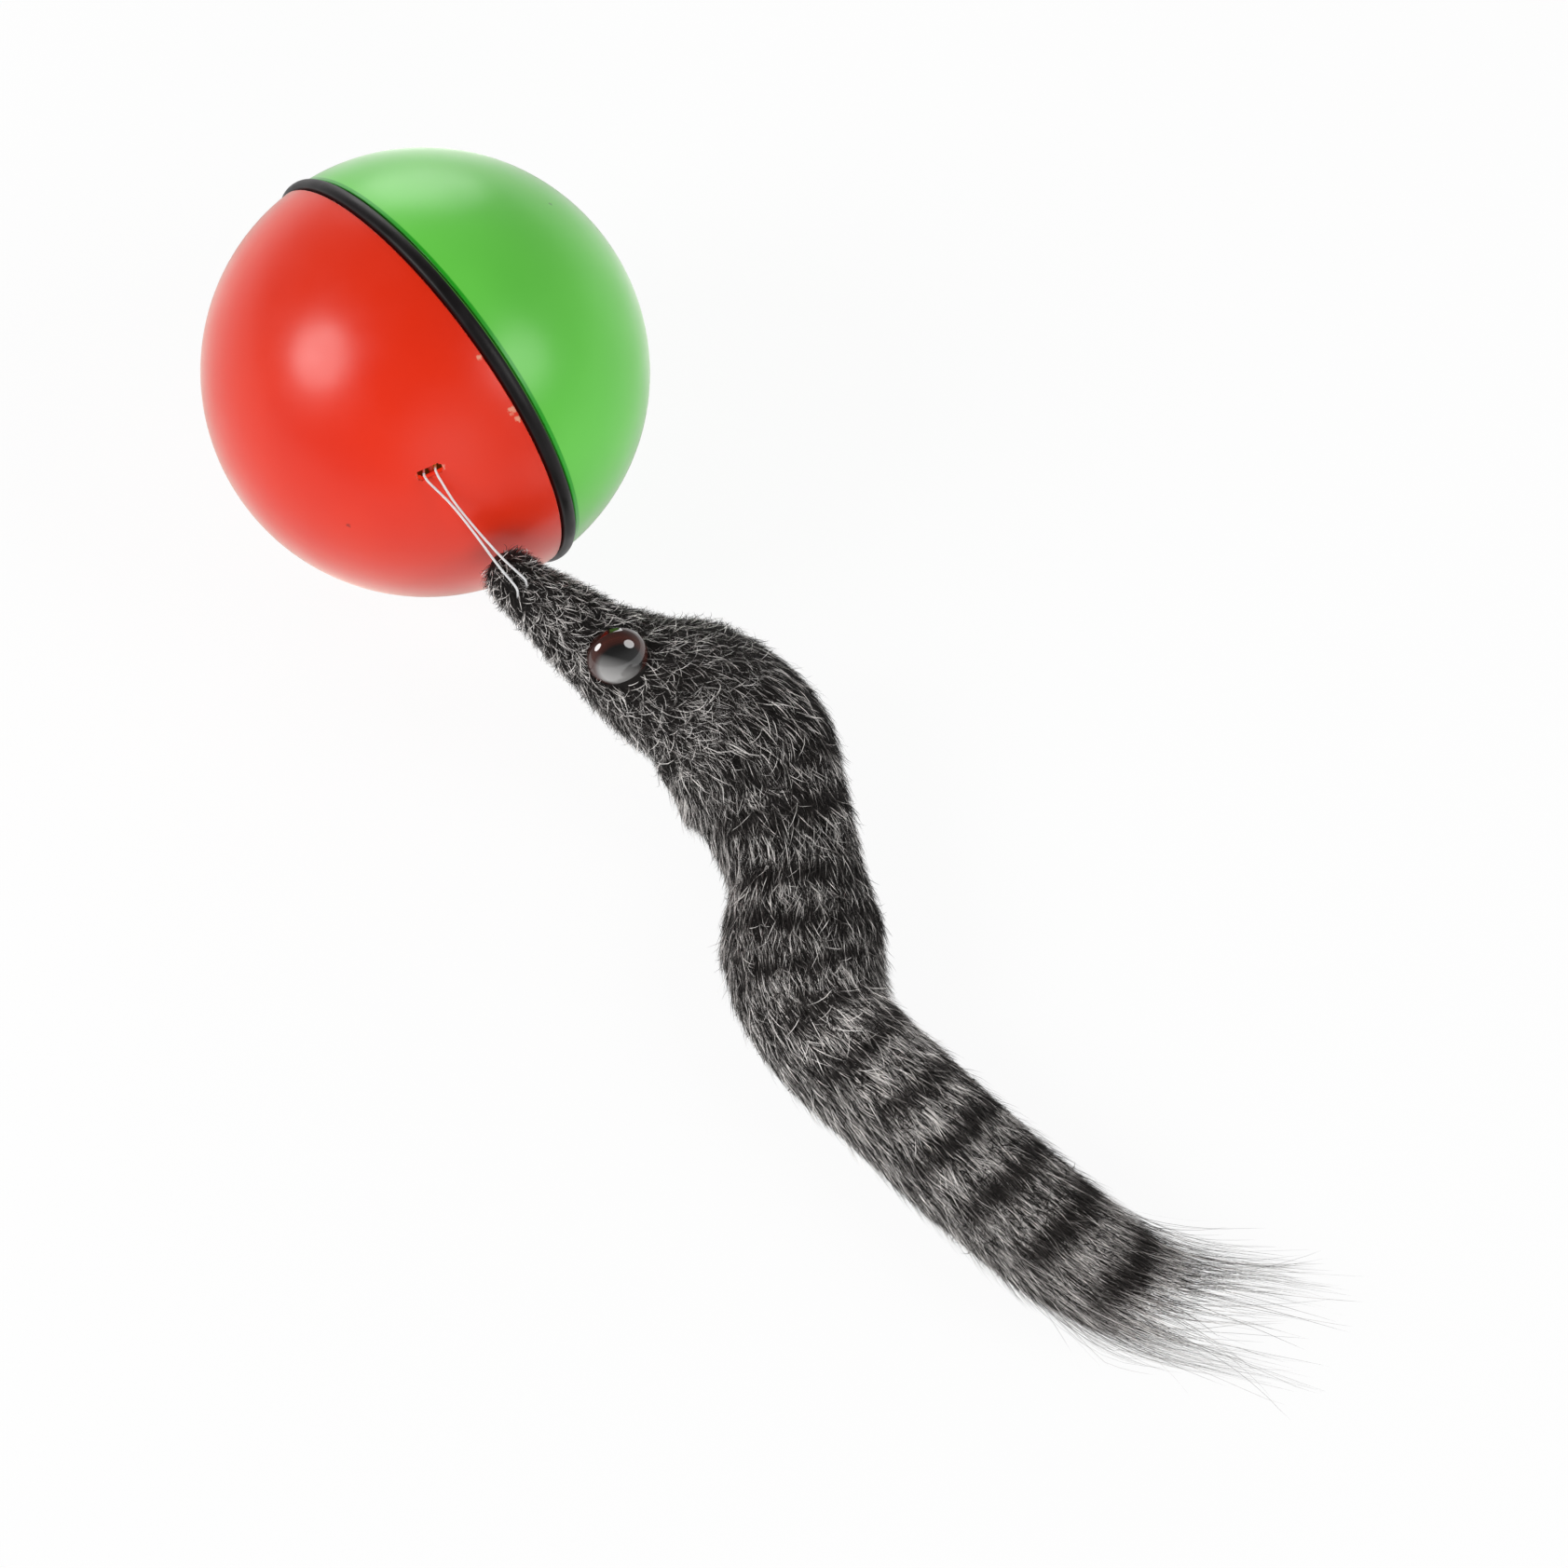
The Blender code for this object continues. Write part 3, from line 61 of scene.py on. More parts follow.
LENS = 125.6
SENSOR = 36
CAMERA_BACK = Vector((0.33284, -0.28528, 0.89879))
CAMERA_FROM_BALL = Vector((0.42675, -0.27954, 0.86584))


def make_camera():
    data = bpy.data.cameras.new("camera")
    data.sensor_width = SENSOR
    data.lens = LENS
    data.clip_start = 0.05
    data.clip_end = 20
    cam = bpy.data.objects.new("camera", data)
    scene.collection.objects.link(cam)
    cam.location = BALL + CAMERA_FROM_BALL
    cam.rotation_mode = "QUATERNION"
    cam.rotation_quaternion = (-CAMERA_BACK).to_track_quat("-Z", "Y")
    scene.camera = cam


# Nylon line: the route is repeated from part.py, in metres

LINE_DIAMETER = 0.00045
LINE_ROUTE = [
    (-0.07271, -0.01877, 0.06521), (-0.07163, -0.01913, 0.06525), (-0.07063, -0.01923, 0.06468),
    (-0.06876, -0.01932, 0.06331), (-0.06685, -0.01932, 0.06200), (-0.06485, -0.01921, 0.06082),
    (-0.06282, -0.01903, 0.05969), (-0.06083, -0.01881, 0.05854), (-0.05886, -0.01852, 0.05734),
    (-0.05690, -0.01819, 0.05614), (-0.05491, -0.01780, 0.05501), (-0.05289, -0.01731, 0.05398),
    (-0.05189, -0.01706, 0.05345), (-0.05095, -0.01686, 0.05279), (-0.05065, -0.01688, 0.05170),
    (-0.05069, -0.01689, 0.05054), (-0.05069, -0.01688, 0.04938), (-0.05067, -0.01713, 0.04828),
    (-0.05059, -0.01817, 0.04791), (-0.05052, -0.01899, 0.04865), (-0.05052, -0.01904, 0.04981),
    (-0.05049, -0.01903, 0.05097), (-0.05055, -0.01903, 0.05212), (-0.05110, -0.01908, 0.05306),
    (-0.05210, -0.01916, 0.05365), (-0.05417, -0.01934, 0.05469), (-0.05621, -0.01946, 0.05579),
    (-0.05820, -0.01952, 0.05698), (-0.06018, -0.01957, 0.05819), (-0.06218, -0.01967, 0.05937),
    (-0.06417, -0.01980, 0.06055), (-0.06619, -0.01998, 0.06169), (-0.06823, -0.02027, 0.06275),
    (-0.07030, -0.02067, 0.06373), (-0.07134, -0.02087, 0.06419), (-0.07243, -0.02098, 0.06458),
    (-0.07353, -0.02075, 0.06452),
]


def make_line():
    curve = bpy.data.curves.new("nylon_line", "CURVE")
    curve.dimensions = "3D"
    curve.bevel_depth = LINE_DIAMETER / 2
    curve.bevel_resolution = 3
    curve.resolution_u = 5
    spline = curve.splines.new("BEZIER")
    spline.bezier_points.add(len(LINE_ROUTE) - 1)
    for point, place in zip(spline.bezier_points, LINE_ROUTE):
        point.co = place
        point.handle_left_type = point.handle_right_type = "AUTO"
    obj = bpy.data.objects.new("nylon_line", curve)
    scene.collection.objects.link(obj)
    return obj


# Shader helpers


def colour_ramp(nodes, stops):
    """A colour ramp node with stops of (place, colour)."""
    node = nodes.new("ShaderNodeValToRGB")
    elements = node.color_ramp.elements
    while len(elements) < len(stops):
        elements.new(0.5)
    for element, (place, colour) in zip(elements, stops):
        element.position = place
        element.color = (*colour, 1)
    return node


class Shader:
    """A Principled material and short ways to add nodes to it."""

    def __init__(self, name):
        self.material = bpy.data.materials.new(name)
        self.material.use_nodes = True
        self.nodes = self.material.node_tree.nodes
        self.links = self.material.node_tree.links
        self.main = self.nodes["Principled BSDF"]
        self.coords = self.nodes.new("ShaderNodeTexCoord").outputs["Object"]

    def put(self, key, value):
        """Sets a socket of the main shader by its name."""
        self.join(value, self.main.inputs[key])

    def join(self, value, socket):
        """Gives a socket a number, a colour or another node's output."""
        if isinstance(value, bpy.types.NodeSocket):
            self.links.new(value, socket)
        else:
            socket.default_value = (*value, 1) if isinstance(value, tuple) else value

    def noise(self, scale, detail=3.0, stretch=None):
        node = self.nodes.new("ShaderNodeTexNoise")
        node.inputs["Scale"].default_value = scale
        node.inputs["Detail"].default_value = detail
        self.links.new(self.stretched(stretch) if stretch else self.coords, node.inputs["Vector"])
        return node.outputs["Fac"]

    def stretched(self, scale):
        node = self.nodes.new("ShaderNodeMapping")
        node.inputs["Scale"].default_value = scale
        self.links.new(self.coords, node.inputs["Vector"])
        return node.outputs["Vector"]

    def range(self, value, low, high, out_low, out_high):
        node = self.nodes.new("ShaderNodeMapRange")
        limits = {"From Min": low, "From Max": high, "To Min": out_low, "To Max": out_high}
        for key, limit in limits.items():
            node.inputs[key].default_value = limit
        self.links.new(value, node.inputs["Value"])
        return node.outputs["Result"]

    def ramp(self, value, stops):
        node = colour_ramp(self.nodes, stops)
        self.links.new(value, node.inputs["Fac"])
        return node.outputs["Color"]

    def math(self, operation, a, b=0.0):
        node = self.nodes.new("ShaderNodeMath")
        node.operation = operation
        self.join(a, node.inputs[0])
        self.join(b, node.inputs[1])
        return node.outputs[0]

    def mix(self, share, a, b):
        node = self.nodes.new("ShaderNodeMix")
        node.data_type = "RGBA"
        self.join(share, node.inputs["Factor"])
        self.join(a, node.inputs["A"])
        self.join(b, node.inputs["B"])
        return node.outputs["Result"]

    def axis(self, name):
        node = self.nodes.new("ShaderNodeSeparateXYZ")
        self.links.new(self.coords, node.inputs["Vector"])
        return node.outputs[name]

    def vector(self, operation, source, other=None):
        """A vector sum of a node's output and, where one is given, a fixed vector."""
        node = self.nodes.new("ShaderNodeVectorMath")
        node.operation = operation
        self.links.new(source, node.inputs[0])
        if other is not None:
            node.inputs[1].default_value = other
        return node.outputs

    def distance(self, place):
        """How far a point of the surface is from a place on the object."""
        return self.vector("DISTANCE", self.coords, place)["Value"]

    def bump(self, height, strength, distance):
        node = self.nodes.new("ShaderNodeBump")
        node.inputs["Strength"].default_value = strength
        node.inputs["Distance"].default_value = distance
        self.links.new(height, node.inputs["Height"])
        self.put("Normal", node.outputs["Normal"])


def surface(name, dark, light, scale, rough=(0.3, 0.4), grain=1500, **sockets):
    """A finish with drifting colour, drifting roughness and a fine grain."""
    shader = Shader(name)
    drift = shader.noise(scale)
    shader.put("Base Color", shader.ramp(drift, [(0.3, dark), (0.7, light)]))
    shader.put("Roughness", shader.range(drift, 0.3, 0.7, *rough))
    shader.bump(shader.noise(grain, 2.0), 0.02, 0.0001)
    for key, value in sockets.items():
        shader.put(key.replace("_", " "), value)
    return shader.material


# Ball: two shells and the rubber band

RIM_GAP = 0.0016
RIM_ROUND = 0.0003
COLLAR_OUT, COLLAR_IN = 0.03802, 0.03632
COLLAR_FOOT, COLLAR_TOP = 0.007, 0.006
BAND_HALF, BAND_SEAT, BAND_EDGE, BAND_CROWN = 0.00125, 0.03837, 0.0411, 0.0007
# Where the colour of the lip ends, along the pole axis, and where the painted glow of the shells' inside
# ends, along a radius
LIP_FADE = (0.0023, 0.0025)
INSIDE_GLOW_FADE = (0.0401, 0.0406)
# How far from the sphere a face of the outside may lie, and how squarely it has to face outward
OUTSIDE_NEAR, OUTSIDE_SQUARE = 0.00012, 0.995
# The line's slot: its length, width and depth, where it lies and which ways it runs
SLOT_SIZE = (0.005, 0.002, 0.006)
SLOT_CORNER = 0.0004
SLOT_REACH = 0.040
LATITUDE, LONGITUDE = math.radians(28.7), math.radians(50.1)
MERIDIAN = Vector((math.sin(LONGITUDE), 0, math.cos(LONGITUDE)))
SLOT_OUT = MERIDIAN * math.cos(LATITUDE) + Vector((0, -math.sin(LATITUDE), 0))
SLOT_LONG = MERIDIAN * math.sin(LATITUDE) + Vector((0, math.cos(LATITUDE), 0))
SLOT_SHORT = SLOT_OUT.cross(SLOT_LONG)


def to_object(name, bm):
    bmesh.ops.recalc_face_normals(bm, faces=bm.faces)
    mesh = bpy.data.meshes.new(name)
    bm.to_mesh(mesh)
    bm.free()
    obj = bpy.data.objects.new(name, mesh)
    scene.collection.objects.link(obj)
    return obj


def revolve(name, profile, segments=160):
    """A closed skin round the ball's pole axis from (y, radius) pairs; a radius of 0 makes a pole."""
    bm = bmesh.new()
    rings = []
    for y, radius in profile:
        ring = []
        for i in range(segments if radius > 0 else 1):
            a = 2 * math.pi * (i + 0.5) / segments
            ring.append(bm.verts.new(BALL + Vector((radius * math.sin(a), y, radius * math.cos(a)))))
        rings.append(ring)
    loops = list(zip(rings, rings[1:]))
    if len(rings[0]) > 1:
        loops.append((rings[-1], rings[0]))
    for first, second in loops:
        for i in range(segments):
            j = (i + 1) % segments
            corners = [first[i % len(first)], first[j % len(first)]]
            corners += [second[j % len(second)], second[i % len(second)]]
            bm.faces.new(list(dict.fromkeys(corners)))
    return to_object(name, bm)


def arc(radius, low, high, steps):
    """(y, radius) pairs on a sphere, from y = low to y = high."""
    a, b = math.acos(low / radius), math.acos(high / radius)
    angles = [a + (b - a) * i / steps for i in range(steps + 1)]
    return [(radius * math.cos(t), max(radius * math.sin(t), 0)) for t in angles]


def shell_profile(side, collar, inner_start):
    """A half shell from its outer pole round its rim to its inner pole, side -1 for red and 1 for green."""
    rim = math.sqrt(BALL_R**2 - RIM_GAP**2)
    outside = arc(BALL_R, BALL_R, RIM_GAP + RIM_ROUND, 52)
    rounding = []
    for a in (0.3, 0.7, 1.1, math.pi / 2):
        rounding.append((RIM_GAP + RIM_ROUND * (1 - math.sin(a)), rim - RIM_ROUND * (1 - math.cos(a))))
    inside = arc(BALL_R - WALL, inner_start, BALL_R - WALL, 24)
    outside[0] = (BALL_R, 0)
    inside[-1] = (BALL_R - WALL, 0)
    return [(side * y, radius) for y, radius in outside + rounding + collar + inside]


def cut_slot(shell):
    """The line's slot through the red shell, with rounded corners."""
    bm = bmesh.new()
    bmesh.ops.create_cube(bm, size=1)
    long, short, deep = SLOT_SIZE
    turn = Matrix((SLOT_LONG * long, SLOT_SHORT * short, SLOT_OUT * deep)).transposed().to_4x4()
    bmesh.ops.transform(bm, matrix=Matrix.Translation(BALL + SLOT_OUT * SLOT_REACH) @ turn, verts=bm.verts)
    upright = []
    for edge in bm.edges:
        way = (edge.verts[0].co - edge.verts[1].co).normalized()
        if abs(way.dot(SLOT_OUT)) > 0.9:
            upright.append(edge)
    bmesh.ops.bevel(bm, geom=upright, offset=SLOT_CORNER, segments=3, affect="EDGES")
    tool = to_object("slot", bm)
    cut = shell.modifiers.new("cut", "BOOLEAN")
    cut.operation = "DIFFERENCE"
    cut.solver = "EXACT"
    cut.object = tool
    mesh = bpy.data.meshes.new_from_object(shell.evaluated_get(bpy.context.evaluated_depsgraph_get()))
    shell.modifiers.clear()
    shell.data = mesh
    bpy.data.objects.remove(tool, do_unlink=True)


def fit_normals(obj):
    """Exact sphere normals on the ball's outside, so that a cut leaves no dents in the shine."""
    mesh = obj.data
    mesh.shade_smooth()
    mesh.set_sharp_from_angle(angle=math.radians(32))
    normals = [Vector(n.vector) for n in mesh.corner_normals]
    for face in mesh.polygons:
        out = face.center - BALL
        square = face.normal.dot(out.normalized()) > OUTSIDE_SQUARE
        if square and abs(out.length - BALL_R) < OUTSIDE_NEAR:
            for k in face.loop_indices:
                normals[k] = (mesh.vertices[mesh.loops[k].vertex_index].co - BALL).normalized()
    mesh.normals_split_custom_set(normals)


def make_red():
    """The red shell, with the collar that the green one turns on and the line's slot."""
    collar = [(RIM_GAP, COLLAR_OUT), (-COLLAR_FOOT, COLLAR_OUT), (-COLLAR_FOOT, COLLAR_IN),
              (COLLAR_TOP, COLLAR_IN)]
    shell = revolve("red_shell", shell_profile(-1, collar, COLLAR_TOP))
    cut_slot(shell)
    fit_normals(shell)
    return shell


def make_green():
    shell = revolve("green_shell", shell_profile(1, [], RIM_GAP))
    fit_normals(shell)
    return shell


def make_band():
    """The rubber band, crowned outside and flat where it sits in its groove."""
    profile = [(-BAND_HALF, BAND_SEAT)]
    for i in range(9):
        a = math.pi * i / 8
        profile.append((-BAND_HALF * math.cos(a), BAND_EDGE + BAND_CROWN * math.sin(a) ** 0.8))
    band = revolve("rubber_band", profile + [(BAND_HALF, BAND_SEAT)], 192)
    band.data.shade_smooth()
    band.data.set_sharp_from_angle(angle=math.radians(40))
    return band


def plastic(name, deep, body, pale, haze, marks, lip=None):
    """Moulded plastic: a slow drift of colour under a dusty sheen, with painted glints at chipped spots, and
    specks.

    haze is the tint of the sheen, marks are painted glints and specks as (place, radius, colour), and lip is
    the colour of the rim at the band. The inside has a painted glow: it gives off a little light, standing in
    for light that comes through the thin wall.
    """
    shader = Shader(name)
    colour = shader.ramp(shader.noise(28, 2.0), [(0.3, deep), (0.5, body), (0.75, pale)])
    if lip:
        rim = shader.range(shader.axis("Y"), *LIP_FADE, 1, 0)
        colour = shader.mix(rim, colour, lip)
    ragged = shader.noise(1500, 3.0)
    # The pale marks are painted glints at chipped spots of the rim and at the slot's end; the dark ones are
    # specks
    for place, radius, mark in marks:
        near = shader.range(shader.distance(BALL + Vector(place)), 0.0, radius, 1, 0)
        share = shader.range(shader.math("MULTIPLY", near, ragged), 0.22, 0.34, 0, 0.85)
        colour = shader.mix(share, colour, mark)
    shader.put("Base Color", colour)
    shader.put("Roughness", shader.range(shader.noise(120, 4.0), 0.3, 0.7, 0.28, 0.36))
    shader.put("Specular IOR Level", 0.4)
    shader.put("Sheen Weight", 1.0)
    shader.put("Sheen Roughness", 0.3)
    shader.put("Sheen Tint", haze)
    # Painted glow: the shells' inside gives off a little light in the deep colour, for light through the thin
    # wall
    inner = shader.range(shader.distance(BALL), *INSIDE_GLOW_FADE, 1, 0)
    shader.put("Emission Color", shader.mix(inner, (0, 0, 0), deep))
    shader.put("Emission Strength", 0.5)
    shader.bump(shader.noise(260, 2.0, (1, 9, 3)), 0.05, 0.00003)
    return shader.material


# Creature: stations of its spine, in millimetres from the floor under the ball's centre, then the
# half width and half depth of the stuffed body with its fur

SPINE = [
    (41.4, -16.9, 49.9, 4.7, 4.5), (48.2, -16.3, 46.9, 5.6, 5.0), (53.8, -13.7, 42.3, 7.1, 6.1),
    (61.6, -10.3, 36.3, 8.9, 7.8), (70.0, -5.1, 29.4, 12.4, 10.6), (76.2, 0.1, 23.4, 15.7, 12.0),
    (86.2, 2.7, 16.9, 17.2, 12.5), (96.6, 0.5, 13.1, 14.5, 12.5), (109.0, -4.7, 12.0, 13.1, 12.2),
    (118.4, -11.1, 12.0, 15.2, 12.5), (126.2, -16.9, 12.0, 15.0, 12.5), (136.6, -21.3, 12.0, 13.1, 12.2),
    (156.0, -20.3, 12.0, 12.6, 12.5), (176.6, -18.7, 12.0, 12.5, 12.2), (197.8, -15.5, 11.2, 11.8, 11.4),
    (213.4, -8.9, 8.2, 9.0, 8.1), (227.2, 2.9, 4.8, 5.2, 4.9), (241.8, 15.9, 2.5, 2.4, 2.5),
]
# The dark bands across the back: place along the spine and half width in millimetres, and strength
BANDS = [
    (67.5, 1.8, 0.6), (78.5, 2.4, 1), (91.5, 2.5, 1), (100.5, 2.0, 1), (108, 1.7, 1),
    (117, 2.3, 0.7), (128, 2.3, 0.8), (140.5, 2.1, 0.75), (151.5, 2.6, 0.8), (163, 2.8, 0.75),
    (175.5, 3.1, 0.75), (188.5, 3.3, 0.75), (201.5, 2.4, 0.75), (214.5, 2.2, 0.8), (228, 2.0, 0.6),
]
SKIN_END = 0.190
# How the back's colours fade round the body: their middle share, their swing and the belly's middle angle
BACK_SHARE, BACK_SWING, BELLY_ANGLE = 0.62, 0.85, math.radians(-55)
# How far the bands waver, in millimetres
BAND_WAVE = 0.8
# Tables by arc length in millimetres: the depth of the fur over the cloth, in millimetres, and the shares of
# pale hairs over the back and under the belly
PILE = {0: 0.7, 20: 1.0, 60: 1.8, 100: 2.1, 172: 2.0, 184: 2.9, 190: 5.0}
PALE_BACK = {
    0: 0.19, 14: 0.17, 28: 0.12, 50: 0.09, 75: 0.15, 100: 0.22, 112: 0.38, 160: 0.38, 185: 0.42, 200: 0.35,
}
PALE_BELLY = {0: 0.18, 30: 0.20, 70: 0.24, 85: 0.36, 105: 0.20, 125: 0.20, 150: 0.28}
NOSE_ROUND = 0.0042
LEAST_SIZE = 0.0004
LEAST_HEIGHT = 0.0004
SLOPE_STEP = 0.0004


def along(s, table):
    """Values read from a table by arc length in millimetres."""
    return np.interp(s * 1000, list(table), list(table.values()))


def blend(a, b, c, d, t):
    """A point on the smooth curve between b and c."""
    return (b * 2 + (c - a) * t + (a * 2 - b * 5 + c * 4 - d) * t**2 + (b * 3 - a - c * 3 + d) * t**3) / 2


def unit(rows):
    """Rows brought to length 1."""
    return rows / np.maximum(np.linalg.norm(rows, axis=-1, keepdims=True), 1e-9)


class Body:
    """The spine, read finely: arc length, places, directions and half sizes."""

    def __init__(self, steps=50):
        rows = np.array(SPINE) * 0.001
        rows[:, 0] += BALL.x
        last = len(rows) - 1
        fine = []
        for i in range(last):
            near = [rows[min(max(i + j, 0), last)] for j in (-1, 0, 1, 2)]
            fine += [blend(*near, k / steps) for k in range(steps)]
        fine = np.array(fine + [rows[-1]])
        self.place, self.size = fine[:, :3], fine[:, 3:]
        self.arc = np.r_[0, np.cumsum(np.linalg.norm(np.diff(self.place, axis=0), axis=1))]
        self.way = unit(np.gradient(self.place, axis=0))
        self.across = unit(np.cross(self.way, [0, 0, 1]))
        self.over = np.cross(self.across, self.way)

    def read(self, s, rows):
        """Rows of values, read at arc lengths."""
        return np.stack([np.interp(s, self.arc, rows[:, k]) for k in range(rows.shape[1])], 1)

    def skin_size(self, s):
        """Half width and half depth of the cloth under the fur."""
        pile = along(s, PILE) * 0.001
        nose = np.sqrt(np.clip(1 - (1 - np.clip(s / NOSE_ROUND, 0, 1)) ** 2, 0, 1))
        return np.maximum(self.read(s, self.size) - pile[:, None], LEAST_SIZE) * nose[:, None]

    def skin(self, s, angle):
        """Places on the cloth with their outward and tailward ways, at angles from the belly over the top."""
        size = self.skin_size(s)
        growth = (self.skin_size(s + SLOPE_STEP) - size).mean(1)[:, None] / SLOPE_STEP
        across, over, way = (self.read(s, rows) for rows in (self.across, self.over, self.way))
        ca, sa = np.cos(angle)[:, None], np.sin(angle)[:, None]
        place = self.read(s, self.place) + across * ca * size[:, :1] + over * sa * size[:, 1:]
        out = unit(unit(across * ca / size[:, :1] + over * sa / size[:, 1:]) - way * growth)
        return place, out, unit(way - out * (way * out).sum(1, keepdims=True))


BODY = Body()


def on_back(angle):
    """1 over the back and 0 under the belly."""
    return np.clip(BACK_SHARE - BACK_SWING * np.cos(angle - BELLY_ANGLE), 0, 1)


def band_dark(s, angle):
    """How dark the bands across the back make a place, from 0 to 1."""
    mm = s * 1000 + BAND_WAVE * np.sin(angle * 3)
    dark = np.zeros_like(mm)
    for centre, half, strength in BANDS:
        dark = np.maximum(dark, strength * np.exp(-(np.abs((mm - centre) / half) ** 4)))
    return dark * on_back(angle)


def light_share(s, angle):
    """The share of pale hairs between the bands."""
    back, belly = along(s, PALE_BACK), along(s, PALE_BELLY)
    return belly + (back - belly) * on_back(angle)


def make_skin():
    """The cloth under the fur."""
    rings, around = 150, 48
    s = np.repeat(np.linspace(0.00005, SKIN_END, rings), around)
    angle = np.tile(np.linspace(0, 2 * math.pi, around, endpoint=False), rings)
    place = BODY.skin(s, angle)[0]
    place[:, 2] = np.maximum(place[:, 2], LEAST_HEIGHT)
    bm = bmesh.new()
    verts = [bm.verts.new(p) for p in place]
    for i in range(rings - 1):
        for j in range(around):
            k = (j + 1) % around
            ring, after = i * around, (i + 1) * around
            bm.faces.new([verts[ring + j], verts[ring + k], verts[after + k], verts[after + j]])
    bm.faces.new(verts[:around])
    bm.faces.new(verts[-around:])
    obj = to_object("creature_skin", bm)
    layer = obj.data.attributes.new("shade", "FLOAT", "POINT")
    layer.data.foreach_set("value", 0.05 + 0.15 * light_share(s, angle))
    obj.data.shade_smooth()
    return obj


# Fur: each hair is a narrow strip with a shade of its own, and hairs stand in locks that lean together

# Roots: the body's girth where they are densest, and the underside, where few of them are kept
WIDEST = 0.030
UNDERSIDE, UNDERSIDE_SHARE = -0.6, 0.25
ROOT_DEPTH = 0.0003
# The width of the whole coat, laid flat, for the number of locks
COAT_WIDTH = 0.07
# Hairs over an eye: the share of its radius that is kept clear, and how far behind its rim
CLEAR_SHARE, CLEAR_BEHIND = 0.80, 0.001
# Where the hairs begin to follow the tail's own way, and over what length
BRUSH_START, BRUSH_RUN = 0.166, 0.016
STRETCH_STEP = 0.0005
SAG_LENGTH = 0.01
# How far hairs stay off the floor, with some scatter, and off the ball
FLOOR_GAP, FLOOR_SPREAD = 0.00012, 0.0004
BALL_GAP = 0.0005
# Tones: how far locks and hairs shift the bands, then the dark hairs' tone and the spreads
LOCK_SHIFT, HAIR_SHIFT = 0.0009, 0.0008
DARK, DARK_SPREAD, PALE_SPREAD, LOCK_SPREAD = 0.17, 0.08, 0.15, 0.35


def fur_material():
    shader = Shader("grey_fur")
    shade = shader.nodes.new("ShaderNodeAttribute")
    shade.attribute_name = "shade"
    mottle = shader.noise(900, 2.0)
    tone = shader.math("ADD", shade.outputs["Fac"], shader.range(mottle, 0.3, 0.7, -0.04, 0.04))
    stops = [(0.0, 0.006), (0.25, 0.026), (0.5, 0.13), (0.75, 0.43), (1.0, 0.90)]
    warm = [(at, (v, v * (0.86 + 0.10 * at), v * (0.80 + 0.13 * at))) for at, v in stops]
    shader.put("Base Color", shader.ramp(tone, warm))
    shader.put("Roughness", shader.range(mottle, 0.3, 0.7, 0.45, 0.65))
    shader.put("Specular IOR Level", 0.15)
    # Painted glow: pale hairs give off a little light of their own, for light that passes through them
    shader.put("Emission Color", shader.ramp(tone, [(0.45, (0, 0, 0)), (1.0, (1, 0.97, 0.94))]))
    shader.put("Emission Strength", 0.08)
    return shader.material


def roots(count, low, high, fade=0.0):
    """Random roots between two arc lengths, even over the skin and sparse underneath.

    Over the last stretch, as long as fade, they thin out to none.
    """
    s = rng.uniform(low, high, count * 4)
    even = BODY.skin_size(s).sum(1) / WIDEST
    thin = np.clip((high - s) / fade, 0, 1) if fade else 1.0
    s = s[rng.random(len(s)) < even * thin][:count]
    angle = rng.uniform(0, 2 * math.pi, len(s))
    kept = (np.sin(angle) > UNDERSIDE) | (rng.random(len(s)) < UNDERSIDE_SHARE)
    return s[kept], angle[kept]


def lock_of(place, size):
    """Which lock each root belongs to, for locks about that wide, and the root that leads each lock."""
    span = place.max(0) - place.min(0)
    count = int(min(len(place) / 3, span.max() * COAT_WIDTH / size**2)) + 4
    leaders = rng.choice(len(place), count, replace=False)
    tree = kdtree.KDTree(count)
    for i, leader in enumerate(leaders):
        tree.insert(place[leader], i)
    tree.balance()
    return leaders, np.array([tree.find(p)[1] for p in place])


def kept_clear(points, eyes):
    """Hairs that don't cover an eye's dome."""
    clear = np.ones(points.shape[1], bool)
    for centre, out, radius in eyes:
        rel = points - centre
        height = rel @ out
        reach = np.linalg.norm(rel - height[..., None] * out, axis=-1)
        clear &= ~((reach < radius * CLEAR_SHARE) & (height > -CLEAR_BEHIND)).any(0)
    return clear


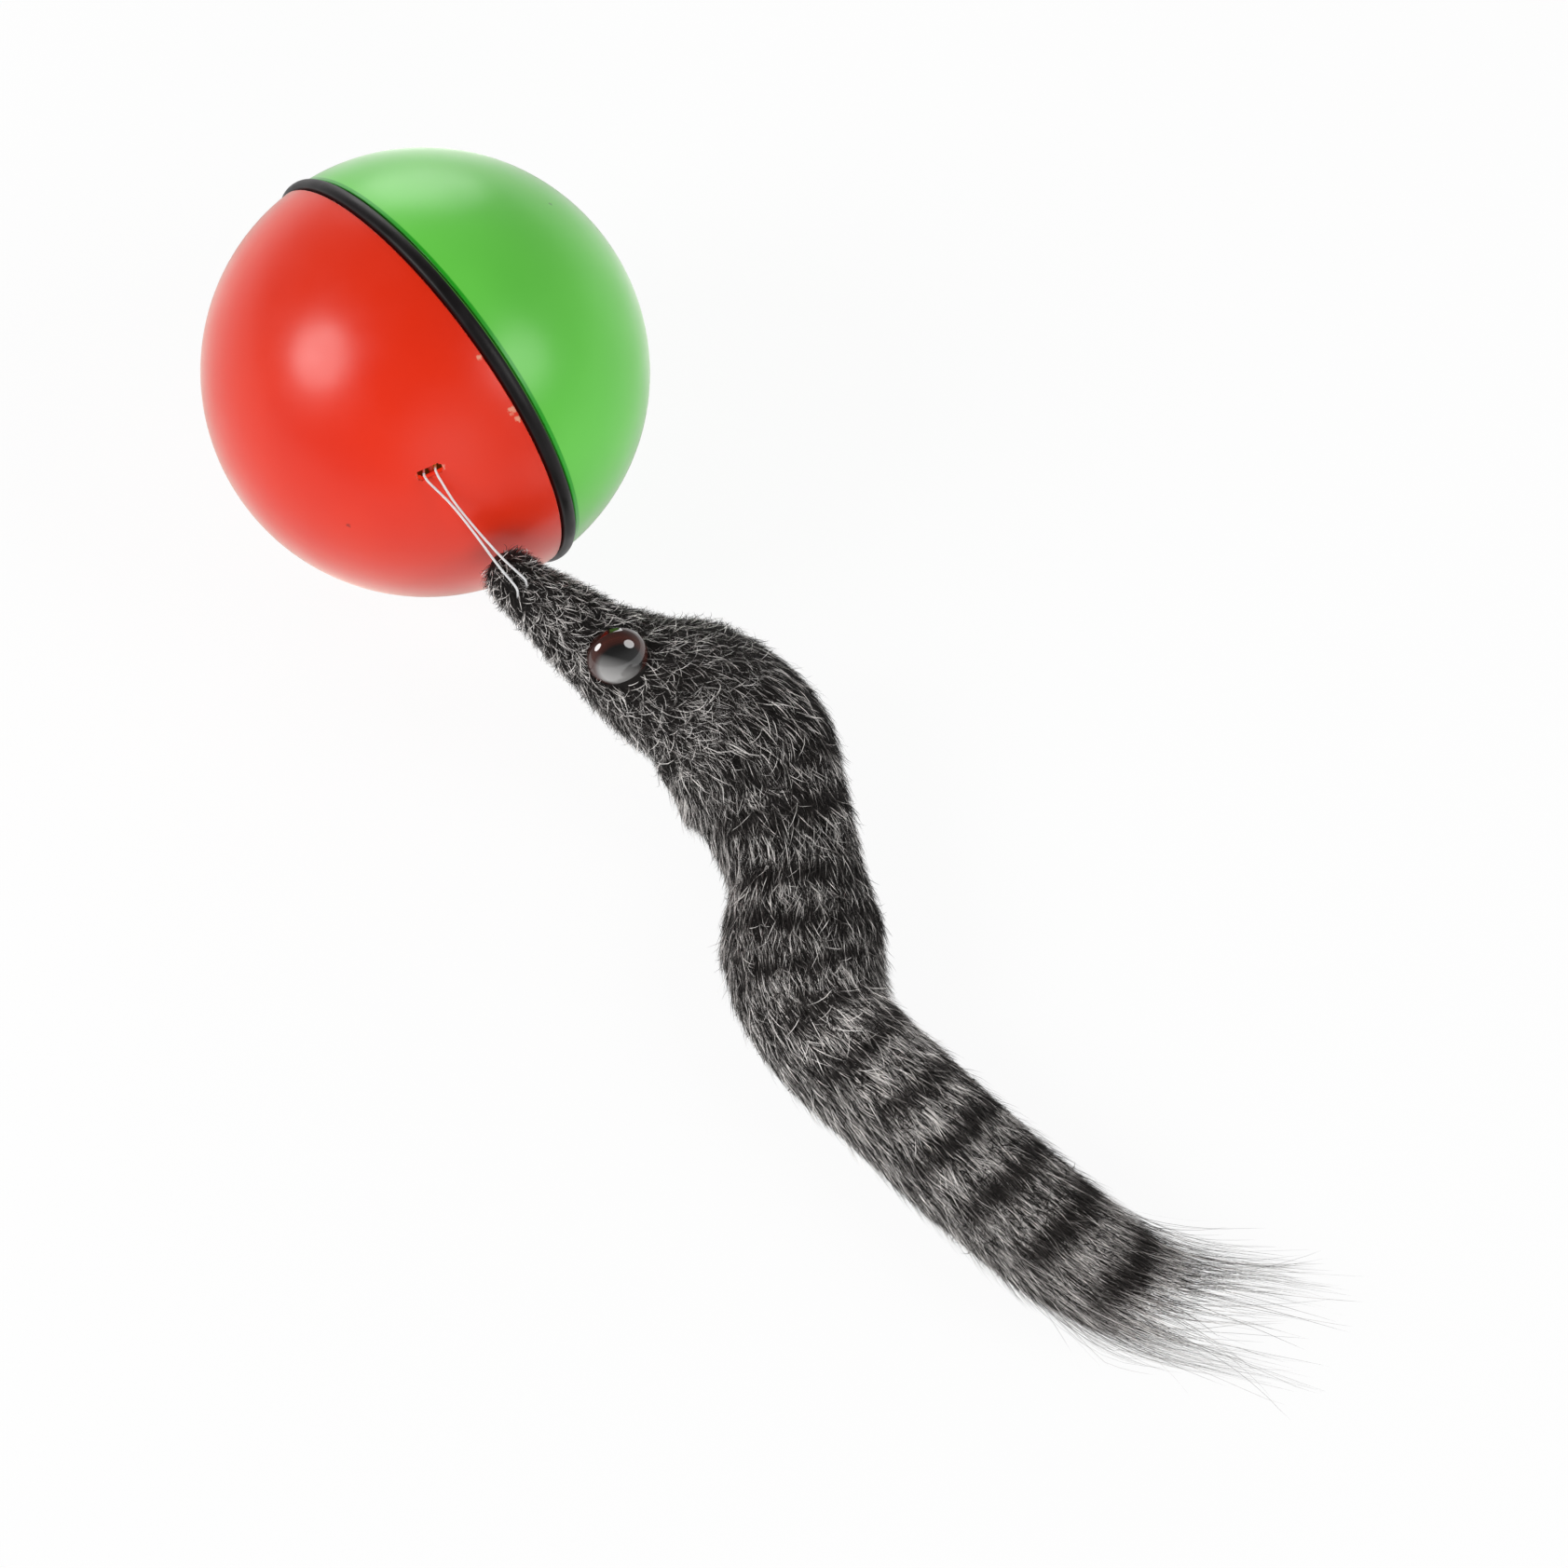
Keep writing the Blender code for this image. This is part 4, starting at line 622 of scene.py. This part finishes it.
def grow(name, eyes, s, angle, length, width, lift, pale, lean=0.25, wander=0.12, curl=0.15, lock=0.0020,
         clump=0.0, segments=3, sag=0.2, even_tone=0.0):
    """Narrow hairs from their roots, swept towards the tail.

    lift is the angle at the root, lean and wander turn whole locks and single hairs aside, curl bends a
    hair along its length, lock is how wide a lock is, and clump draws its tips together. pale is how light
    the pale hairs are, and even_tone makes more hairs pale and the bands fainter.
    """
    place, out, back = BODY.skin(s, angle)
    stretch = np.linalg.norm(BODY.skin(s + STRETCH_STEP, angle)[0] - place, axis=1) / STRETCH_STEP
    brush = np.clip((s - BRUSH_START) / BRUSH_RUN, 0, 1)[:, None]
    reach_on = length / np.clip(stretch + (1 - stretch) * brush[:, 0], 0.4, 2.5)
    back = unit(back * (1 - brush) + BODY.read(s, BODY.way) * brush)
    side = unit(np.cross(out, back))
    leaders, own = lock_of(place, lock)
    count = len(s)
    heading = rng.normal(0, lean, len(leaders))[own] + rng.normal(0, wander, count)
    turn = rng.normal(0, curl, count)
    home = BODY.read(s, BODY.way)
    points = np.zeros((segments + 1, count, 3))
    points[0] = place - out * ROOT_DEPTH
    for k in range(segments):
        t = (k + 0.5) / segments
        up = (lift * (1 - 0.85 * t))[:, None]
        aside = (heading * (0.6 + 0.8 * t) + turn * t)[:, None]
        flow = back + BODY.read(s + reach_on * t, BODY.way) - home
        run = (flow * np.cos(aside) + side * np.sin(aside)) * np.cos(up) + out * np.sin(up)
        run[:, 2] -= sag * t * np.clip(length / SAG_LENGTH, 0, 2)
        points[k + 1] = points[k] + unit(run) * (length / segments)[:, None]
    for k in range(1, segments + 1):
        pull = clump * (k / segments) ** 1.4
        points[k] += (points[k][leaders][own] - points[k]) * pull
    points[:, :, 2] = np.maximum(points[:, :, 2], FLOOR_GAP + FLOOR_SPREAD * rng.random(count))
    from_ball = points - np.array(BALL)
    reach = np.linalg.norm(from_ball, axis=-1, keepdims=True)
    points = np.array(BALL) + from_ball * np.maximum(1, (BALL_R + BALL_GAP) / reach)

    shift = rng.normal(0, LOCK_SHIFT, len(leaders))[own] + rng.normal(0, HAIR_SHIFT, count)
    chance = light_share(s, angle) * rng.lognormal(0, LOCK_SPREAD, len(leaders))[own]
    is_pale = rng.random(count) < chance * (1 - even_tone) + even_tone
    width = width * np.where(is_pale, 1.3, 0.9)
    dark = rng.normal(DARK, DARK_SPREAD, count)
    tips = np.where(is_pale, rng.normal(pale, PALE_SPREAD, count), dark)
    tones = np.zeros((segments + 1, count))
    for k in range(segments + 1):
        band = band_dark(s + reach_on * k / segments + shift, angle) * (1 - even_tone * 0.5)
        band = np.clip((band - 0.25) * 2, 0, 1)
        # Each hair is darker towards its root: painted shade deep in the coat
        tones[k] = (tips + (dark - tips) * band) * (0.35 + 0.65 * min(1, 2.4 * k / segments))
    keep = kept_clear(points, eyes)
    return strips(name, points[:, keep], tones[:, keep], width[keep], out[keep], side[keep])


def strips(name, points, tones, width, out, side):
    """Tapering strips along rows of points, ending in a tip, with a shade and a small map for each corner."""
    last, count = points.shape[0] - 1, points.shape[1]
    twist = rng.uniform(-0.9, 0.9, count)[:, None]
    face = out * np.cos(twist) + side * np.sin(twist)
    per = 2 * last + 1
    verts = np.zeros((count, per, 3))
    shades = np.zeros((count, per))
    maps = np.zeros((count, per, 2))
    for k in range(last + 1):
        run = unit(points[min(k + 1, last)] - points[max(k - 1, 0)])
        half = unit(np.cross(face, run)) * (width * (1 - 0.75 * (k / last) ** 1.5) / 2)[:, None]
        across = np.clip(tones[k], 0, 1) * 0.96 + 0.01
        for j, part in ((2 * k, -1), (2 * k + 1, 1)) if k < last else ((2 * k, 0),):
            verts[:, j] = points[k] + half * part
            shades[:, j] = tones[k]
            maps[:, j] = np.stack([across + 0.006 * part, np.full(count, 0.02 + 0.96 * k / last)], 1)
    base = np.arange(count)[:, None] * per
    quads = [base + [2 * k, 2 * k + 1, 2 * k + 3, 2 * k + 2] for k in range(last - 1)]
    tip = base + [2 * last - 2, 2 * last - 1, 2 * last]
    loops = np.concatenate([np.concatenate(quads, 1).reshape(-1), tip.reshape(-1)])
    sizes = np.r_[np.full(count * (last - 1), 4), np.full(count, 3)]
    mesh = bpy.data.meshes.new(name)
    mesh.vertices.add(count * per)
    mesh.vertices.foreach_set("co", verts.reshape(-1))
    mesh.loops.add(len(loops))
    mesh.loops.foreach_set("vertex_index", loops)
    mesh.polygons.add(len(sizes))
    mesh.polygons.foreach_set("loop_start", np.r_[0, np.cumsum(sizes)[:-1]])
    mesh.update(calc_edges=True)
    layer = mesh.attributes.new("shade", "FLOAT", "POINT")
    layer.data.foreach_set("value", shades.reshape(-1))
    uv = mesh.uv_layers.new(name="OFBake")
    uv.data.foreach_set("uv", maps.reshape(-1, 2)[loops].reshape(-1))
    mesh.shade_smooth()
    obj = bpy.data.objects.new(name, mesh)
    scene.collection.objects.link(obj)
    return obj


def coat(name, eyes, count, span, length, width, lift, steep=None, spread=(0.65, 1.2), fade=0.0, **habit):
    """One coat of fur over a span of arc lengths. The values not named here are those of grow.

    length is a table in millimetres by arc length, and each hair takes a share of it out of spread. width
    is a range or one value. lift is a range, multiplied by the table steep where there is one.
    """
    s, angle = roots(int(count * (1.0)), *span, fade)
    size = along(s, length) * 0.001 * rng.uniform(*spread, len(s))
    width = rng.uniform(*width, len(s)) if isinstance(width, tuple) else np.full(len(s), width)
    lift = rng.uniform(*lift, len(s)) * (along(s, steep) if steep else 1.0)
    habit = {key: along(s, value) if isinstance(value, dict) else value for key, value in habit.items()}
    return grow(name, eyes, s, angle, size, width, lift, **habit)


def body_coat(span, stray, steepest, **more):
    """A stretch of the body's coat, by how far its hairs stray and how steeply they stand."""
    return dict(
        count=38000, span=span, length={40: 5.0, 60: 6.5, 100: 7.5, 180: 8.5, 187: 8.0},
        width=(0.00011, 0.00018), lift=(0.10, steepest), pale=0.93, lean=stray, wander=stray,
        curl=stray * 0.7, clump=0.25, **more)


FUZZ_STRAY = {0: 0.4, 90: 0.35, 140: 0.1}
COATS = {
    # Short dark wool next to the cloth
    "under_wool": dict(
        count=36000, span=(0.0004, SKIN_END), length={0: 1.6, 20: 2.2, 60: 4.0, 190: 5.0},
        width=(0.00020, 0.00028), lift=(0.15, 0.6), pale=0.30, wander=0.7, curl=0.8, clump=0.1),
    # Woolly snout and head
    "fur_head": dict(
        count=28000, span=(0.0003, 0.050), length={0: 2.6, 12: 3.2, 30: 4.4, 50: 6.0},
        width=(0.00010, 0.00015), lift=(0.3, 1.2), steep={0: 0.9, 30: 0.7, 50: 0.5}, pale=0.93,
        lean=0.45, wander=0.5, curl=0.8, lock=0.0016, clump=0.12, segments=4),
    "fur_neck": body_coat((0.042, 0.100), 0.22, 0.6),
    "fur_middle": body_coat((0.094, 0.152), 0.14, 0.4),
    "fur_hind": body_coat((0.146, 0.187), 0.08, 0.3, fade=0.008),
    # Long pale guard hairs, some of them lying across the rest
    "guard_hair": dict(
        count=1300, span=(0.022, 0.135), length={30: 5.0, 60: 7.5, 135: 8.0}, width=0.00013,
        lift=(0.25, 0.6), pale=1.05, wander=0.4, curl=0.08, segments=4, even_tone=0.9),
    # Fine fuzz that softens the outline
    "fine_fuzz": dict(
        count=18000, span=(0.001, 0.186), length={0: 2.8, 40: 4.4, 120: 6.5, 190: 10.0}, width=0.00008,
        lift=(0.4, 1.0), steep={0: 1.3, 60: 1.1, 120: 0.7, 186: 0.6}, pale=0.90, lean=0.15,
        wander=FUZZ_STRAY, curl=FUZZ_STRAY, even_tone=0.15),
    # Tail: a ragged brush, then sparse wisps that carry the bands on
    "tail_brush": dict(
        count=2600, span=(0.176, 0.1895), length={176: 12.0, 190: 13.0}, spread=(0.3, 1.4), width=0.00011,
        lift=(0.0, 0.15), pale=0.95, lean=0.12, wander=0.08, curl=0.1, lock=0.003, clump=0.25, segments=6,
        sag=0.05),
    "tail_wisps": dict(
        count=1000, span=(0.166, 0.1895), length={166: 27.0, 190: 29.0}, spread=(0.5, 1.6), width=0.00008,
        lift=(0.0, 0.2), pale=0.76, lean=0.16, wander=0.08, curl=0.2, lock=0.004, clump=0.25, segments=9,
        sag=0.05),
}


# Safety eyes

# The plush tips each eye from the CAD eye's way towards this one, and presses it a little flatter
EYE_DOWN = (0.6824, -0.5849, -0.4384)
EYE_TURN = math.radians(24)
EYE_FLATTEN = 0.82
# The CAD eye's stem, between these distances from its axis, tells its back from its front
STEM = (0.0006, 0.0014)
EYE_SEAT = 0.0002
# The way to the edge where a painted pale glow of gathered light lies in the eye's colour
PAINTED_EYE_GLOW = (0.491, -0.762, -0.4235)


def eye_frame(node):
    """The middle of the CAD eye's rim, its outward way, tipped by the plush, its radius and its height."""
    obj = frame["nodes"][node]
    points = np.array([obj.matrix_world @ v.co for v in obj.data.vertices])
    spread, ways = np.linalg.eigh(np.cov((points - points.mean(0)).T))
    way = ways[:, 0] if spread[1] - spread[0] > spread[2] - spread[1] else ways[:, 2]
    height = (points - points.mean(0)) @ way
    reach = np.linalg.norm(points - points.mean(0) - height[:, None] * way, axis=1)
    rim = reach > reach.max() * 0.97
    stem = (reach > STEM[0]) & (reach < STEM[1])
    if height[stem].mean() > height[rim].mean():
        way, height = -way, -height
    base = height[rim].min()
    tipped = unit(way * math.cos(EYE_TURN) + np.array(EYE_DOWN) * math.sin(EYE_TURN))
    return points.mean(0) + way * base, tipped, float(reach.max()), float(height.max() - base) * EYE_FLATTEN


def make_eye(name, eye):
    """A domed eye with a flat back, on its own axis."""
    centre, out, radius, height = eye
    bm = bmesh.new()
    rings, around = 18, 64
    turns = [2 * math.pi * j / around for j in range(around)]
    grid = []
    for i in range(rings):
        a = math.pi / 2 * i / rings
        wide, up = radius * math.cos(a), height * (0.08 + 0.92 * math.sin(a))
        grid.append([bm.verts.new((wide * math.cos(b), wide * math.sin(b), up)) for b in turns])
    foot = [bm.verts.new((v.co.x, v.co.y, -EYE_SEAT)) for v in grid[0]]
    grid.insert(0, foot)
    top = bm.verts.new((0, 0, height))
    for low, high in zip(grid, grid[1:]):
        for j in range(around):
            k = (j + 1) % around
            bm.faces.new((low[j], low[k], high[k], high[j]))
    for j in range(around):
        bm.faces.new((grid[-1][j], grid[-1][(j + 1) % around], top))
    bm.faces.new(foot)
    obj = to_object(name, bm)
    obj.data.shade_smooth()
    obj.data.set_sharp_from_angle(angle=math.radians(50))
    obj.matrix_world = Matrix.Translation(Vector(centre)) @ eye_turn(out).to_4x4()
    return obj


def eye_turn(out):
    """The turn from the z axis to an eye's outward way."""
    return Vector((0, 0, 1)).rotation_difference(Vector(out)).to_matrix()


def eye_material(out, radius):
    """Black pupil in a clear dark brown rim, under a glassy coat, with a painted pale glow of gathered light
    at the lower edge.
    """
    shader = Shader("brown_eye")
    lower_edge = eye_turn(out).transposed() @ Vector(PAINTED_EYE_GLOW) / radius
    low = shader.vector("DOT_PRODUCT", shader.coords, lower_edge)["Value"]
    flat = shader.vector("MULTIPLY", shader.coords, (1, 1, 0))["Vector"]
    share = shader.math("DIVIDE", shader.vector("LENGTH", flat)["Value"], radius)
    wavy = shader.math("ADD", share, shader.range(shader.noise(300, 2.0), 0.3, 0.7, -0.01, 0.01))
    brown = [(0.0, (0.004, 0.004, 0.004)), (0.68, (0.004, 0.004, 0.004)), (0.75, (0.030, 0.008, 0.006)),
             (0.88, (0.060, 0.016, 0.011)), (1.0, (0.030, 0.008, 0.006))]
    inside = shader.range(share, 0.66, 0.82, 1, 0)
    # Painted glow: pale grey mixed into the colour towards the lower edge, for light gathered in the dome
    glow = shader.math("MULTIPLY", shader.range(low, 0.05, 0.85, 0, 0.75), inside)
    shader.put("Base Color", shader.mix(glow, shader.ramp(wavy, brown), (0.55, 0.54, 0.53)))
    shader.put("Roughness", 0.05)
    shader.put("Coat Weight", 1.0)
    shader.put("Coat Roughness", 0.02)
    return shader.material


# Stage: a pale floor that shows white to the camera, and soft light

FLOOR_SIZE = 6
FLOOR_WHITE = 0.93
BACKDROP = (0.985, 0.985, 0.985)
# The studio's brightness by height, from the horizon at 0 to straight up at 1
STUDIO = {0.0: 0.40, 0.3: 0.32, 0.6: 0.15, 1.0: 0.08}


def background_rays(shader):
    """1 for rays that see the backdrop: the camera's, and those that gloss or glass sends on."""
    path = shader.nodes.new("ShaderNodeLightPath").outputs
    total = path["Is Camera Ray"]
    for key in ("Is Glossy Ray", "Is Transmission Ray"):
        total = shader.math("MAXIMUM", total, path[key])
    return total


def make_floor():
    bpy.ops.mesh.primitive_plane_add(size=FLOOR_SIZE, location=(0, 0, 0))
    floor = bpy.context.object
    floor.name = "floor"
    shader = Shader("pale_floor")
    greys = [(0.3, (0.85, 0.85, 0.85)), (0.7, (0.87, 0.87, 0.87))]
    shader.put("Base Color", shader.ramp(shader.noise(3, 2.0), greys))
    shader.put("Roughness", 0.8)
    glow = shader.nodes.new("ShaderNodeEmission")
    glow.inputs["Color"].default_value = (1, 1, 1, 1)
    glow.inputs["Strength"].default_value = 1.0
    share = shader.math("MULTIPLY", background_rays(shader), FLOOR_WHITE)
    mix = shader.nodes.new("ShaderNodeMixShader")
    shader.links.new(share, mix.inputs["Fac"])
    shader.links.new(shader.main.outputs["BSDF"], mix.inputs[1])
    shader.links.new(glow.outputs["Emission"], mix.inputs[2])
    shader.links.new(mix.outputs["Shader"], shader.nodes["Material Output"].inputs["Surface"])
    floor.data.materials.append(shader.material)


def make_world():
    """A dim studio, a little brighter near the horizon, that shows white to the camera."""
    world = bpy.data.worlds.new("studio")
    scene.world = world
    world.use_nodes = True
    nodes, links = world.node_tree.nodes, world.node_tree.links
    split = nodes.new("ShaderNodeSeparateXYZ")
    links.new(nodes.new("ShaderNodeTexCoord").outputs["Generated"], split.inputs["Vector"])
    ramp = colour_ramp(nodes, [(height, (value, value, value)) for height, value in STUDIO.items()])
    links.new(split.outputs["Z"], ramp.inputs["Fac"])
    white = nodes.new("ShaderNodeMix")
    white.data_type = "RGBA"
    links.new(nodes.new("ShaderNodeLightPath").outputs["Is Camera Ray"], white.inputs["Factor"])
    links.new(ramp.outputs["Color"], white.inputs["A"])
    white.inputs["B"].default_value = (*BACKDROP, 1)
    links.new(white.outputs["Result"], nodes["Background"].inputs["Color"])
    nodes["Background"].inputs["Strength"].default_value = 1.0


# Each lamp: its way from the ball, its distance, its size, its power and whether gloss shows it
LAMPS = {
    "key": ((-0.349, -0.715, 0.606), 1.1, 0.55, 8.0, True),
    "window": ((0.680, 0.440, 0.590), 1.2, 0.65, 5.5, True),
    "back": ((-0.780, 0.590, 0.210), 1.2, 0.80, 6.5, True),
    "fill": ((0.830, -0.430, 0.350), 1.2, 0.80, 4.5, False),
}


def make_lamps():
    for name, (way, distance, size, power, glossy) in LAMPS.items():
        data = bpy.data.lights.new(name, "AREA")
        data.shape = "DISK"
        data.size = size
        data.energy = power
        lamp = bpy.data.objects.new(name, data)
        scene.collection.objects.link(lamp)
        lamp.visible_glossy = glossy
        lamp.location = BALL + Vector(way) * distance
        lamp.rotation_mode = "QUATERNION"
        lamp.rotation_quaternion = (-Vector(way)).to_track_quat("-Z", "Y")


# Build


def dress(obj, body, slot, *nodes):
    """Gives a piece its material and its body, and hides the CAD nodes that it stands for."""
    obj.data.materials.clear()
    obj.data.materials.append(SLOTS[slot])
    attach(obj, body)
    if nodes:
        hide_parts(*nodes)


scene.view_settings.view_transform = "Standard"
make_camera()
line = make_line()
make_floor()
make_world()
make_lamps()

upper_eye, lower_eye = eye_frame("eye_upper"), eye_frame("eye_lower")

# Painted glints at chipped spots of the rim and at the slot's end, and specks: place from the ball's centre,
# radius and colour
CHIP_GLINT = (0.80, 0.34, 0.22)
RED_MARKS = [
    ((21.0e-3, -2.3e-3, 35.1e-3), 0.0011, CHIP_GLINT),
    ((29.7e-3, -2.4e-3, 28.1e-3), 0.0016, CHIP_GLINT),
    ((31.0e-3, -2.2e-3, 26.7e-3), 0.0014, CHIP_GLINT),
    # A painted glint at the end of the slot, then a dark speck
    ((28.6e-3, -17.4e-3, 23.7e-3), 0.0010, (0.75, 0.22, 0.16)),
    ((20.9e-3, -33.6e-3, 10.8e-3), 0.0010, (0.35, 0.008, 0.003)),
]
GREEN_MARKS = [((1.0e-3, 30.0e-3, 27.9e-3), 0.0009, (0.06, 0.30, 0.04))]
REDS = (0.70, 0.020, 0.003), (0.74, 0.025, 0.004), (0.77, 0.030, 0.005)
GREENS = (0.120, 0.57, 0.060), (0.135, 0.61, 0.068), (0.150, 0.65, 0.078)
SLOTS = {
    "red_plastic": plastic("red_plastic", *REDS, (1.0, 0.84, 0.74), RED_MARKS),
    "green_plastic": plastic("green_plastic", *GREENS, (0.92, 1.0, 0.88), GREEN_MARKS,
                             lip=(0.015, 0.36, 0.010)),
    "black_rubber": surface("black_rubber", (0.005, 0.004, 0.004), (0.010, 0.008, 0.009), 180, (0.35, 0.5),
                            Specular_IOR_Level=0.2),
    "case_plastic": surface("case_plastic", (0.10, 0.10, 0.11), (0.14, 0.14, 0.15), 120, (0.4, 0.5)),
    "white_plastic": surface("white_plastic", (0.70, 0.69, 0.65), (0.78, 0.77, 0.73), 120, (0.35, 0.45)),
    "gear_plastic": surface("gear_plastic", (0.76, 0.74, 0.68), (0.82, 0.80, 0.74), 150, (0.3, 0.4)),
    "steel": surface("steel", (0.52, 0.52, 0.53), (0.66, 0.66, 0.67), 300, (0.22, 0.34), 4000, Metallic=1.0),
    "brass": surface("brass", (0.62, 0.45, 0.18), (0.75, 0.57, 0.26), 300, (0.28, 0.4), 4000, Metallic=1.0),
    "cell_jacket": surface("cell_jacket", (0.04, 0.14, 0.18), (0.06, 0.18, 0.22), 90, (0.28, 0.36)),
    "nylon": surface("nylon", (0.86, 0.86, 0.87), (0.95, 0.95, 0.96), 400, (0.12, 0.2),
                     Transmission_Weight=0.3),
    "brown_eye": eye_material(*upper_eye[1:3]),
    "red_lead": surface("red_lead", (0.45, 0.015, 0.015), (0.55, 0.03, 0.02), 300, (0.4, 0.5)),
    "black_lead": surface("black_lead", (0.014, 0.014, 0.014), (0.025, 0.025, 0.025), 300, (0.4, 0.5)),
    "grey_fur": fur_material(),
}
for part in frame["record"]["subparts"]:
    node = frame["nodes"][part["node"]]
    node.data.materials.clear()
    node.data.materials.append(SLOTS[part["material_slot"]])

dress(make_red(), "ball", "red_plastic", "red_half_shell")
dress(make_green(), "lid", "green_plastic", "green_half_shell")
dress(make_band(), "ball", "black_rubber", "equator_band")
dress(line, "tie_line", "nylon", "tie_line")
dress(make_eye("glass_eye_upper", upper_eye), "creature", "brown_eye", "eye_upper")
dress(make_eye("glass_eye_lower", lower_eye), "creature", "brown_eye", "eye_lower")

fur_nodes = [f"creature_{name}" for name in ("head", "shoulder", "middle", "hind", "tail")]
skin = make_skin()
dress(skin, "creature", "grey_fur", *fur_nodes)
domes = [eye[:3] for eye in (upper_eye, lower_eye)]
for name, values in COATS.items():
    dress(coat(name, domes, **values), "creature", "grey_fur")
